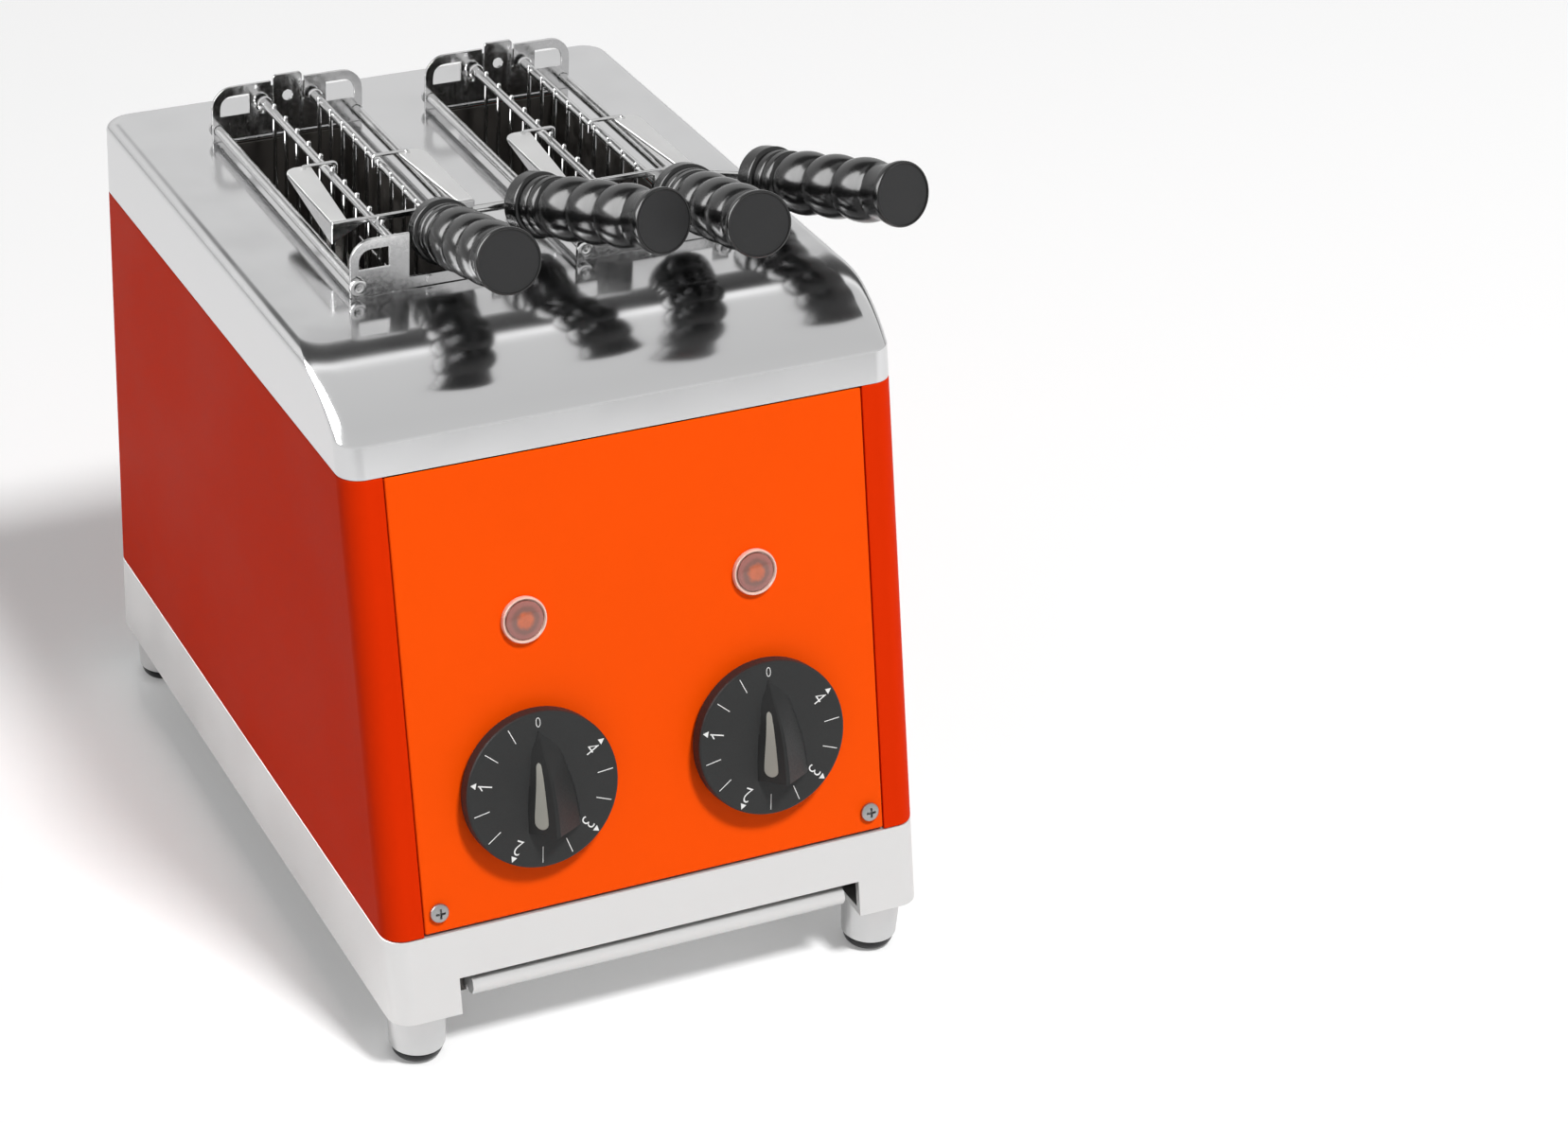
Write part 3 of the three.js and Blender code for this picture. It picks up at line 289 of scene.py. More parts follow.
def lathe(name, profile, matrix, sides=64):
    """A turned piece round the matrix's own Z, closed where the profile meets the axis."""
    points, faces, rows = [], [], []
    for radius, height in profile:
        if radius < 1e-6:
            rows.append([len(points)] * sides)
            points.append(matrix @ Vector((0, 0, height)))
            continue
        rows.append(list(range(len(points), len(points) + sides)))
        for i in range(sides):
            turn = 2 * math.pi * i / sides
            points.append(matrix @ Vector((radius * math.cos(turn), radius * math.sin(turn), height)))
    for low, high in zip(rows, rows[1:]):
        for i in range(sides):
            j = (i + 1) % sides
            face = tuple(dict.fromkeys((low[i], low[j], high[j], high[i])))
            if len(face) > 2:
                faces.append(face)
    return solid(name, points, faces)


def ball(name, centre, radius):
    profile = [(radius * math.sin(math.pi * t), -radius * math.cos(math.pi * t)) for t in arc(8)]
    return lathe(name, profile, Matrix.Translation(centre), 16)


def along(start, end):
    """A matrix whose Z runs from one point to another."""
    direction = (Vector(end) - Vector(start)).normalized()
    return Matrix.Translation(start) @ direction.to_track_quat("Z", "Y").to_matrix().to_4x4()


def round_bar(name, start, end, radius, sides=24, edge=0.0):
    length = (Vector(end) - Vector(start)).length
    half = [(0, 0), (radius - edge, 0), (radius, edge)]
    profile = half + [(out, length - place) for out, place in reversed(half)]
    return lathe(name, profile, along(start, end), sides)


def bent_wire(name, path, radius, sides=12):
    """A round wire through the points of a path, with closed ends."""
    rings = []
    side = None
    turns = [2 * math.pi * k / sides for k in range(sides)]
    for i, point in enumerate(path):
        ahead = (path[min(i + 1, len(path) - 1)] - path[max(i - 1, 0)]).normalized()
        if side is None:
            side = ahead.orthogonal().normalized()
        side = (side - ahead * side.dot(ahead)).normalized()
        other = ahead.cross(side)
        rings.append([point + radius * (math.cos(turn) * side + math.sin(turn) * other) for turn in turns])
    return loft(name, rings)


def curve_point(first, corner, last, t):
    """A point of the curve that starts and ends towards a corner."""
    return first * (1 - t) ** 2 + corner * 2 * t * (1 - t) + last * t * t


def rounded_path(points, radius, steps=6):
    """The points with each inner corner turned into an arc."""
    points = [Vector(p) for p in points]
    path = [points[0]]
    for before, corner, after in zip(points, points[1:], points[2:]):
        reach = min(radius, (before - corner).length / 2, (after - corner).length / 2)
        first = corner + (before - corner).normalized() * reach
        last = corner + (after - corner).normalized() * reach
        path += [curve_point(first, corner, last, t) for t in arc(steps)]
    return [*path, points[-1]]


def evaluated(piece):
    graph = bpy.context.evaluated_depsgraph_get()
    return bpy.data.meshes.new_from_object(piece.evaluated_get(graph))


def baked(piece):
    """The piece with its modifiers made part of its mesh."""
    mesh = evaluated(piece)
    piece.modifiers.clear()
    piece.data = mesh
    return piece


def cut(piece, *tools):
    for tool in tools:
        step = piece.modifiers.new("cut", "BOOLEAN")
        step.operation = "DIFFERENCE"
        step.solver = "EXACT"
        step.object = tool
    baked(piece)
    for tool in tools:
        bpy.data.objects.remove(tool)
    return piece


def soften(piece, width, segments=2, limit=40):
    """Bevels edges sharper than limit."""
    step = piece.modifiers.new("edges", "BEVEL")
    step.width = width * MM
    step.segments = segments
    step.limit_method = "ANGLE"
    step.angle_limit = math.radians(limit)
    return baked(piece)


def smooth(piece, limit=35):
    """Smooth shading, with edges sharper than limit kept sharp and flat faces kept flat."""
    work = bmesh.new()
    work.from_mesh(piece.data)
    for face in work.faces:
        face.smooth = True
    for edge in work.edges:
        edge.smooth = edge.is_manifold and edge.calc_face_angle(0) < math.radians(limit)
    work.to_mesh(piece.data)
    work.free()
    step = piece.modifiers.new("flat faces stay flat", "WEIGHTED_NORMAL")
    step.keep_sharp = True
    return baked(piece)


def merged(name, pieces):
    """Several pieces as one."""
    work = bmesh.new()
    for piece in pieces:
        work.from_mesh(piece.data)
        bpy.data.objects.remove(piece)
    mesh = bpy.data.meshes.new(name)
    work.to_mesh(mesh)
    work.free()
    return new_object(name, mesh)


def from_node(name, node, width, limit):
    """A copy of a node with its doubles merged, its flat faces joined and its edges eased."""
    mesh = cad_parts[node].data.copy()
    work = bmesh.new()
    work.from_mesh(mesh)
    bmesh.ops.remove_doubles(work, verts=work.verts, dist=2e-6)
    bmesh.ops.dissolve_limit(work, angle_limit=math.radians(1), verts=work.verts, edges=work.edges)
    work.to_mesh(mesh)
    work.free()
    mesh.materials.clear()
    return smooth(soften(new_object(name, mesh), width, 2, limit), limit)


def finish(piece, finishes, body, node=None):
    """Gives a piece its materials and its body, and hides the node that it stands for."""
    for name in (finishes,) if isinstance(finishes, str) else finishes:
        piece.data.materials.append(material(name))
    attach(piece, body)
    if node:
        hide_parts(node)
    return piece


# Nodes


class Wire:
    """A socket that takes arithmetic."""

    def __init__(self, nodes, socket):
        self.nodes = nodes
        self.socket = socket

    def __add__(self, other):
        return self.nodes.maths("ADD", self, other)

    def __radd__(self, other):
        return self.nodes.maths("ADD", other, self)

    def __sub__(self, other):
        return self.nodes.maths("SUBTRACT", self, other)

    def __rsub__(self, other):
        return self.nodes.maths("SUBTRACT", other, self)

    def __mul__(self, other):
        return self.nodes.maths("MULTIPLY", self, other)

    def __rmul__(self, other):
        return self.nodes.maths("MULTIPLY", other, self)

    def __truediv__(self, other):
        return self.nodes.maths("DIVIDE", self, other)

    def __rtruediv__(self, other):
        return self.nodes.maths("DIVIDE", other, self)


class Nodes:
    """A node tree that grows by one node at a time."""

    def add(self, kind, settings=None, sockets=None, output=0):
        """Any node, with its settings or a ramp's grey stops, then the values or links of its sockets."""
        node = self.tree.nodes.new(kind)
        for key, value in (settings or {}).items():
            if key == "stops":
                ramp = node.color_ramp.elements
                while len(ramp) < len(value):
                    ramp.new(0.5)
                for element, (place, grey) in zip(ramp, value):
                    element.position = place
                    element.color = (grey, grey, grey, 1)
            else:
                setattr(node, key, value)
        for key, value in (sockets or {}).items():
            self.set(node.inputs[key], value)
        return Wire(self, node.outputs[output])

    def set(self, socket, value):
        if isinstance(value, Wire):
            self.tree.links.new(value.socket, socket)
        else:
            socket.default_value = value

    def maths(self, operation, *values):
        return self.add("ShaderNodeMath", {"operation": operation}, dict(enumerate(values)))


class Tree(Nodes):
    """A geometry node tree with named inputs."""

    KINDS = {int: "NodeSocketInt", float: "NodeSocketFloat", tuple: "NodeSocketVector"}

    def __init__(self, name, values):
        self.tree = bpy.data.node_groups.new(name, "GeometryNodeTree")
        self.tree.interface.new_socket("Geometry", in_out="OUTPUT", socket_type="NodeSocketGeometry")
        self.values = {}
        for label, value in values.items():
            kind = self.KINDS[type(value)]
            made = self.tree.interface.new_socket(label, in_out="INPUT", socket_type=kind)
            made.default_value = value
            self.values[made.identifier] = value
        self.inputs = self.tree.nodes.new("NodeGroupInput")

    def given(self, label):
        return Wire(self, self.inputs.outputs[label])

    def vector(self, x=0.0, y=0.0, z=0.0):
        return self.add("ShaderNodeCombineXYZ", None, {"X": x, "Y": y, "Z": z})

    def raised(self, geometry, rise):
        sockets = {"Geometry": geometry, "Translation": self.vector(z=rise)}
        return self.add("GeometryNodeTransform", None, sockets)

    def spread(self, points, piece, **more):
        sockets = {"Points": points, "Instance": piece, **more}
        return self.add("GeometryNodeInstanceOnPoints", None, sockets)

    def run(self, name, geometry, finish_name):
        """A piece made by the tree, with its values and a finish."""
        real = self.add("GeometryNodeRealizeInstances", None, {0: geometry})
        done = self.add("GeometryNodeSetMaterial", None, {0: real, "Material": material(finish_name)})
        self.set(self.tree.nodes.new("NodeGroupOutput").inputs[0], done)
        piece = new_object(name, bpy.data.meshes.new(name))
        step = piece.modifiers.new("made", "NODES")
        step.node_group = self.tree
        for identifier, value in self.values.items():
            step[identifier] = value
        return baked(piece)


def ticks_on_dial(name):
    """Two ticks after the zero and after each of the numbers 1 to 3, by turning a bar round the dial."""
    tree = Tree("dial ticks", {
        "Pairs": 4, "Step": math.radians(NUMBER_STEP / 3), "Radius": 27.4,
        "Length": sizes().tick_length / MM, "Width": sizes().tick_width / MM,
    })
    count = tree.given("Pairs") * 2
    line = tree.add("GeometryNodeMeshLine", {"mode": "OFFSET"}, {"Count": count, "Offset": (0, 0, 0)})
    index = tree.add("GeometryNodeInputIndex")
    turn = (index + tree.maths("FLOOR", index / 2) + 1) * tree.given("Step")
    radius = tree.given("Radius")
    place = tree.vector(tree.maths("SINE", turn) * (radius * -1), tree.maths("COSINE", turn) * radius)
    placed = tree.add("GeometryNodeSetPosition", None, {"Geometry": line, "Position": place})
    size = tree.vector(tree.given("Width"), tree.given("Length"), 2 * MARK_HALF)
    bar = tree.add("GeometryNodeMeshCube", None, {"Size": size})
    return tree.run(name, tree.spread(placed, bar, Rotation=tree.vector(z=turn)), "white print")


def wire_rank(name, x, low, high, start, count):
    """Upright round wires with domed tops, one pitch apart."""
    tree = Tree("wire rank", {
        "Count": count, "Pitch": GRID["pitch"] * MM, "Start": tuple(TO_FRAME @ Vector((x, start, low))),
        "Height": (high - low) * MM, "Radius": sizes().grid_wire,
    })
    height, radius = tree.given("Height"), tree.given("Radius")
    line = tree.add("GeometryNodeMeshLine", {"mode": "OFFSET"}, {
        "Count": tree.given("Count"), "Start Location": tree.given("Start"),
        "Offset": tree.vector(y=tree.given("Pitch")),
    })
    wire = tree.add("GeometryNodeMeshCylinder", None, {"Vertices": 12, "Radius": radius, "Depth": height})
    cap = tree.add("GeometryNodeMeshUVSphere", None, {"Segments": 12, "Rings": 6, "Radius": radius})
    both = tree.add("GeometryNodeJoinGeometry", None, {0: tree.raised(wire, height * 0.5)})
    tree.set(both.socket.node.inputs[0], tree.raised(cap, height))
    return tree.run(name, tree.spread(line, both), "chrome wire")


# Materials


class Shade(Nodes):
    """The nodes of one material, or of the world."""

    def __init__(self, name, world=None):
        self.material = world or bpy.data.materials.new(name)
        self.material.use_nodes = True
        self.tree = self.material.node_tree
        self.tree.nodes.clear()
        self.surface = self.tree.nodes.new("ShaderNodeBackground" if world else "ShaderNodeBsdfPrincipled")
        output = self.tree.nodes.new("ShaderNodeOutputWorld" if world else "ShaderNodeOutputMaterial")
        self.tree.links.new(self.surface.outputs[0], output.inputs[0])

    def set_surface(self, **values):
        for key, value in values.items():
            self.set(self.surface.inputs[key.replace("_", " ").title().replace("Ior", "IOR")], value)

    def dress(self, colour, rough, relief, **values):
        """Colour, roughness and relief, each given as a pattern and its numbers."""
        self.set_surface(
            base_color=self.mix(*colour), roughness=self.span(*rough), normal=self.bump(*relief), **values)

    def place(self, shift=(0, 0, 0), scale=(1, 1, 1)):
        where = self.add("ShaderNodeTexCoord", output="Object")
        return self.add("ShaderNodeMapping", None, {"Vector": where, "Location": shift, "Scale": scale})

    def noise(self, scale, detail, stretch=(1, 1, 1)):
        sockets = {"Vector": self.place(scale=stretch), "Scale": scale, "Detail": detail}
        return self.add("ShaderNodeTexNoise", None, sockets)

    def mix(self, factor, first, second):
        first, second = (c if isinstance(c, Wire) else (*c, 1) for c in (first, second))
        return self.add("ShaderNodeMix", {"data_type": "RGBA"}, {0: factor, 6: first, 7: second}, 2)

    def span(self, value, low, high, to_low=0.0, to_high=1.0):
        sockets = {"Value": value, "From Min": low, "From Max": high, "To Min": to_low, "To Max": to_high}
        return self.add("ShaderNodeMapRange", {"interpolation_type": "SMOOTHSTEP"}, sockets)

    def bump(self, height, depth, strength):
        sockets = {"Height": height, "Distance": depth, "Strength": strength}
        return self.add("ShaderNodeBump", None, sockets)

    def ray(self, kind):
        return self.add("ShaderNodeLightPath", output=f"Is {kind} Ray")


def shaded(colour, share):
    return tuple(part * share for part in colour)


def polished_steel(shade):
    polish = colours().polish
    wave = shade.noise(9, 2)
    scratch = shade.noise(900, 4, (1, 0.06, 1))
    shade.set_surface(
        base_color=(*colours().cover, 1), metallic=1.0,
        roughness=shade.span(shade.noise(26, 4), 0.35, 0.75, polish, polish + 0.05),
        normal=shade.bump(wave + scratch * 0.002, 0.0012, 0.5),
    )


def satin_steel(shade):
    base = colours().base
    grain = shade.noise(700, 3, (0.12, 1, 1))
    haze = shade.noise(18, 4)
    colour = (haze, shaded(base, 0.92), base)
    shade.dress(colour, (haze, 0.3, 0.75, 0.4, 0.5), (grain, 0.00005, 0.5), metallic=0.55)


def paint(shade, colour, shine):
    skin = shade.noise(420, 3)
    cloud = shade.noise(14, 4)
    colour = (cloud, shaded(colour, 0.93), colour)
    rough = (cloud, 0.3, 0.7, 0.42, 0.5)
    shade.dress(colour, rough, (skin, 0.00006, 0.6), metallic=0.0, specular_ior_level=shine)


def plastic(shade, colour, rough):
    grain = shade.noise(1500, 2)
    colour = (shade.noise(60, 3), colour, shaded(colour, 1.25))
    rough = (grain, 0.3, 0.7, rough - 0.06, rough + 0.06)
    shade.dress(colour, rough, (grain, 0.00004, 0.6), metallic=0.0, specular_ior_level=0.3)


def gloss_black(shade):
    handle = colours().handle
    ripple = shade.noise(70, 2)
    dust = shade.noise(1800, 2)
    shade.dress(
        (dust, shaded(handle, 0.55), handle), (dust, 0.4, 0.8, 0.2, 0.27), (ripple, 0.0002, 0.3),
        metallic=0.0, specular_ior_level=0.46, coat_weight=0.06, coat_roughness=0.08,
    )


def chrome_wire(shade):
    draw = shade.noise(500, 3)
    colour = (shade.noise(60, 3), (0.62, 0.62, 0.62), (0.75, 0.75, 0.75))
    shade.dress(colour, (draw, 0.3, 0.7, 0.1, 0.22), (draw, 0.00006, 0.4), metallic=1.0)


def turned_metal(shade, grey):
    grain = shade.noise(900, 3, (1, 1, 6))
    haze = shade.noise(50, 3)
    colour = (haze, (grey * 0.84,) * 3, (grey,) * 3)
    shade.dress(colour, (haze, 0.3, 0.7, 0.3, 0.4), (grain, 0.00006, 0.6), metallic=0.9)


# Dark steel for the hidden chambers and floor; on the leaves' undersides the same dark colour is painted
# shade
def heated_steel(shade):
    soot = shade.noise(120, 4)
    colour = (shade.noise(16, 5), (0.035, 0.034, 0.033), (0.11, 0.1, 0.09))
    shade.dress(colour, (soot, 0.3, 0.7, 0.35, 0.6), (soot, 0.0002, 0.3), metallic=0.7)


def frosted_quartz(shade):
    frost = shade.noise(300, 4)
    colour = (frost, (0.42, 0.4, 0.38), (0.6, 0.58, 0.55))
    shade.dress(colour, (frost, 0.3, 0.7, 0.2, 0.35), (frost, 0.0001, 0.4), metallic=0.0)


def white_print(shade):
    marks = colours().marks
    wear = shade.noise(900, 3)
    shade.set_surface(
        base_color=shade.mix(wear, shaded(marks, 0.84), marks), metallic=0.0,
        roughness=shade.span(wear, 0.3, 0.7, 0.5, 0.6),
    )


def satin_leaf(shade):
    grain = shade.noise(600, 3, (1, 0.2, 1))
    haze = shade.noise(40, 3)
    colour = (haze, (0.72, 0.72, 0.715), (0.8, 0.8, 0.795))
    shade.dress(colour, (haze, 0.3, 0.7, 0.3, 0.4), (grain, 0.00005, 0.4), metallic=0.6)


def lamp_ring(shade):
    ring = colours().ring
    shade.set_surface(
        base_color=shade.mix(shade.noise(300, 2), shaded(ring, 0.75), ring), metallic=0.0,
        roughness=0.12, coat_weight=1.0, coat_roughness=0.03,
    )


def lamp_lens(shade, centre):
    """Rings of colour round a lamp's middle, from its core out to its rim."""
    lens = colours().lens
    where = shade.place(shift=-centre)
    reach = shade.add("ShaderNodeVectorMath", {"operation": "LENGTH"}, {0: where}, "Value")
    cells = shade.noise(420, 3)
    ragged = reach + (cells - 0.5) * 0.0016
    inner = shade.mix(cells, lens, shaded(lens, 0.65))
    middle = shade.mix(shade.span(ragged, 0.0034, 0.0052), inner, (0.2, 0.075, 0.055))
    edge = shade.mix(shade.span(ragged, 0.0056, 0.0072), middle, (0.32, 0.1, 0.08))
    shade.set_surface(
        base_color=edge, metallic=0.0, roughness=0.12, coat_weight=1.0, coat_roughness=0.02,
        normal=shade.bump(cells, 0.0004, 0.5),
    )


FINISHES = {
    "satin leaf": satin_leaf,
    "polished steel": polished_steel,
    "satin steel": satin_steel,
    "panel paint": lambda shade: paint(shade, colours().panel, 0.05),
    "shell paint": lambda shade: paint(shade, colours().shell, 0.018),
    "dark plastic": lambda shade: plastic(shade, colours().dial, 0.5),
    "gloss black": gloss_black,
    "chrome wire": chrome_wire,
    "turned aluminium": lambda shade: turned_metal(shade, 0.66),
    "screw steel": lambda shade: turned_metal(shade, 0.42),
    "heated steel and painted shade": heated_steel,
    "frosted quartz": frosted_quartz,
    "white print": white_print,
    "cap black": lambda shade: plastic(shade, colours().cap, 0.46),
    "foot rubber": lambda shade: plastic(shade, colours().rubber, 0.36),
    # Painted shade: darker copies of the dial plastic stand in for the shade on the grips, near black on the
    # left flank
    "flank black": lambda shade: plastic(shade, shaded(colours().dial, 0.4), 0.34),
    "grip painted shade": lambda shade: plastic(shade, shaded(colours().dial, 0.7), 0.42),
    "insert grey": lambda shade: plastic(shade, colours().insert, 0.4),
    "lamp ring": lamp_ring,
}


def material(name):
    if name not in bpy.data.materials:
        FINISHES[name](Shade(name))
    return bpy.data.materials[name]


# Places


def panel_matrix(x, up):
    """Stands on the sloping panel: X across, Y up the slope, Z out of it."""
    turn = Matrix.Rotation(math.pi / 2 - LEAN, 4, "X")
    return Matrix.Translation((0, BODY_FRONT, BASE_TOP)) @ turn @ Matrix.Translation((x, up, 0))


def handle_matrix(key):
    """Stands at the root of a handle, with Z along it."""
    slot = SLOTS[0 if key.startswith("left") else 1]
    aside, ahead, rise, yaw = HANDLES[key]
    turn = math.radians(yaw)
    flat = math.cos(HANDLE_PITCH)
    direction = Vector((math.sin(turn) * flat, -math.cos(turn) * flat, math.sin(HANDLE_PITCH)))
    root = Vector((slot + aside, LEAF["front"] - ahead, COVER_TOP + rise))
    return along(root, root + direction)


# Operators


class TOASTER_OT_housing(bpy.types.Operator):
    """Make the base skirt, the painted shell and the front panel"""

    bl_idname = "toaster.housing"
    bl_label = "Housing"

    def execute(self, context):
        self.base()
        self.shell()
        self.panel()
        return {"FINISHED"}

    def base(self):
        top = BASE_TOP - SEAT
        under = BASE_BOTTOM - PAST
        front = front_at(BASE_BOTTOM)
        piece = loft("base_skirt_skin", soft_rings(BASE_BOTTOM, top, BASE_ROUNDING))
        inner = [body_ring(z, BASE_WALL) for z in (BASE_BOTTOM + BASE_WALL, top + PAST)]
        hatch = block(
            "hatch", -HATCH["half"], HATCH["half"], front + HATCH["front"], BODY_REAR - HATCH["rear"],
            under, BASE_BOTTOM + HATCH["height"])
        mouth = block(
            "mouth", -TRAY_OPENING["half"], TRAY_OPENING["half"], front - PAST, front + TRAY_OPENING["depth"],
            under, BASE_BOTTOM + TRAY_OPENING["height"])
        cut(piece, loft("inner", inner), hatch, mouth)
        smooth(soften(piece, sizes().base_edge / MM, 2, 50))
        finish(piece, "satin steel", "housing", "base_skirt")

    def shell(self):
        low, high = BASE_TOP, SHELL_TOP - SEAT
        under, over = low - PAST, high + PAST
        piece = loft("shell_skin", soft_rings(low, high, SHELL_ROUNDING))
        inner = loft("inner", [body_ring(z, SHEET) for z in (under, over)])
        half = HALF_WIDTH - FLANGE
        front, behind = front_at(low) - PAST, front_at(high) + PAST + SHEET
        window = block("window", -half, half, front, behind, under, over)
        x, z = INLET["across"], BASE_TOP + INLET["rise"]
        ends = [(x, BODY_REAR + reach, z) for reach in (-PAST, PAST)]
        cut(piece, inner, window, round_bar("hole", *ends, INLET["radius"], 48))
        smooth(soften(piece, sizes().shell_edge / MM, 2, 50))
        finish(piece, "shell paint", "housing", "shell")

    def panel(self):
        matrix = panel_matrix(0, 0)
        half = PANEL_HALF
        piece = block("front_panel_skin", -half, half, SEAM, PANEL_SLANT, -PANEL_DEPTH, 0, matrix)
        half -= SHEET
        past = 1.5 * PAST
        cut(piece, block("hollow", -half, half, -past, PANEL_SLANT + past, -2 * PANEL_DEPTH, -SHEET, matrix))
        smooth(soften(piece, sizes().panel_edge / MM, 3, 50))
        finish(piece, "panel paint", "housing", "front_panel")


class TOASTER_OT_cover(bpy.types.Operator):
    """Make the polished cover with its curved front and two slots"""

    bl_idname = "toaster.cover"
    bl_label = "Cover"

    def execute(self, context):
        piece = loft("top_cover_skin", self.rings(0, SHELL_TOP))
        inner = loft("inner", self.rings(COVER_WALL, SHELL_TOP - PAST))
        low, high = COVER_TOP - SLOT_DEPTH, COVER_TOP + PAST
        slots = [block("slot", x - SLOT_HALF, x + SLOT_HALF, *SLOT_SPAN, low, high) for x in SLOTS]
        cut(piece, inner, *slots)
        smooth(soften(piece, sizes().cover_edge / MM, 2, 60), 40)
        finish(piece, "polished steel", "housing", "top_cover")
        return {"FINISHED"}

    def rings(self, wall, start):
        """Rings from the shell up a short skirt, over a crease and round the curve to the flat top."""
        top, radius = COVER_TOP - wall, CURVE_RADIUS - wall
        edge = EDGE_RADIUS - wall / 2
        flat = front_at(COVER_TOP) + FLAT_SETBACK

        def ring(z, front):
            rise = z - top + edge
            inset = wall
            if rise > 0:
                inset += edge - math.sqrt(max(edge**2 - rise**2, 0))
            corner = max(CORNER - wall, edge)
            return plan_ring(z, HALF_WIDTH - inset, front, BODY_REAR - inset, corner, 12)

        def plane(z):
            return front_at(z) + wall / math.cos(LEAN)

        def on_curve(turn):
            return Vector((flat - radius * math.sin(turn), top - radius * (1 - math.cos(turn))))

        # The turn where the curve meets the skirt's plane, by halving
        low, high = 0, math.pi / 2 - LEAN
        for _ in range(50):
            turn = (low + high) / 2
            y, z = on_curve(turn)
            if y > plane(z):
                low = turn
            else:
                high = turn
        crease = on_curve(low).y
        reach = CREASE_RADIUS * math.tan((math.pi / 2 - LEAN - low) / 2)
        foot = crease - reach * math.cos(LEAN)
        turn = low - reach / radius
        ends = Vector((plane(foot), foot)), Vector((plane(crease), crease)), on_curve(turn)
        rings = [ring(start, plane(start))]
        for t in arc(8):
            y, z = curve_point(*ends, t)
            rings.append(ring(z, y))
        while turn > 0.001:
            turn = max(turn - math.radians(2 if turn > 0.3 else 1.2), 0)
            y, z = on_curve(turn)
            rings.append(ring(z, y))
        return rings


class TOASTER_OT_feet(bpy.types.Operator):
    """Make the four feet with their rubber tips"""

    bl_idname = "toaster.feet"
    bl_label = "Feet"

    def execute(self, context):
        for name, (x, y) in FEET.items():
            matrix = Matrix.Translation((x, y, 0))
            foot = smooth(lathe(f"foot_{name}_skin", FOOT, matrix), 30)
            finish(foot, "turned aluminium", "housing", f"foot_{name}")
            rubber = smooth(lathe(f"foot_tip_{name}_skin", FOOT_TIP, matrix), 50)
            finish(rubber, "foot rubber", "housing", f"foot_tip_{name}")
        return {"FINISHED"}


class TOASTER_OT_lamps(bpy.types.Operator):
    """Make the two pilot lamps"""

    bl_idname = "toaster.lamps"
    bl_label = "Lamps"

    def execute(self, context):
        radius = LAMP["radius"]
        profile = [(radius - inward, z) for inward, z in (
            (3, -8.9), (1.2, -8.9), (1.2, 0.3), (0, 0.3), (0, 1.6), (0.35, 2.15), (0.8, 2.2), (1.3, 1.7),
            (1.4, 0.8), (3, 0.8), (3, -8.9))]
        lens_radius = radius - 1.75
        lens_profile = [(0, 1.4), (lens_radius, 1.4), (lens_radius, 1.8), *dome(0, lens_radius, 1.8, 0.9, 10)]
        for side, sign in SIDES:
            matrix = panel_matrix(sign * LAMP["across"], LAMP["up"])
            ring = smooth(lathe(f"lamp_{side}_ring", profile, matrix), 40)
            finish(ring, "lamp ring", "housing", f"lamp_{side}_bezel")
            lens = smooth(lathe(f"lamp_{side}_dome", lens_profile, matrix), 50)
            shade = Shade(f"lamp lens {side}")
            lamp_lens(shade, TO_FRAME @ matrix.translation)
            lens.data.materials.append(shade.material)
            finish(lens, (), "housing", f"lamp_{side}_lens")
        return {"FINISHED"}


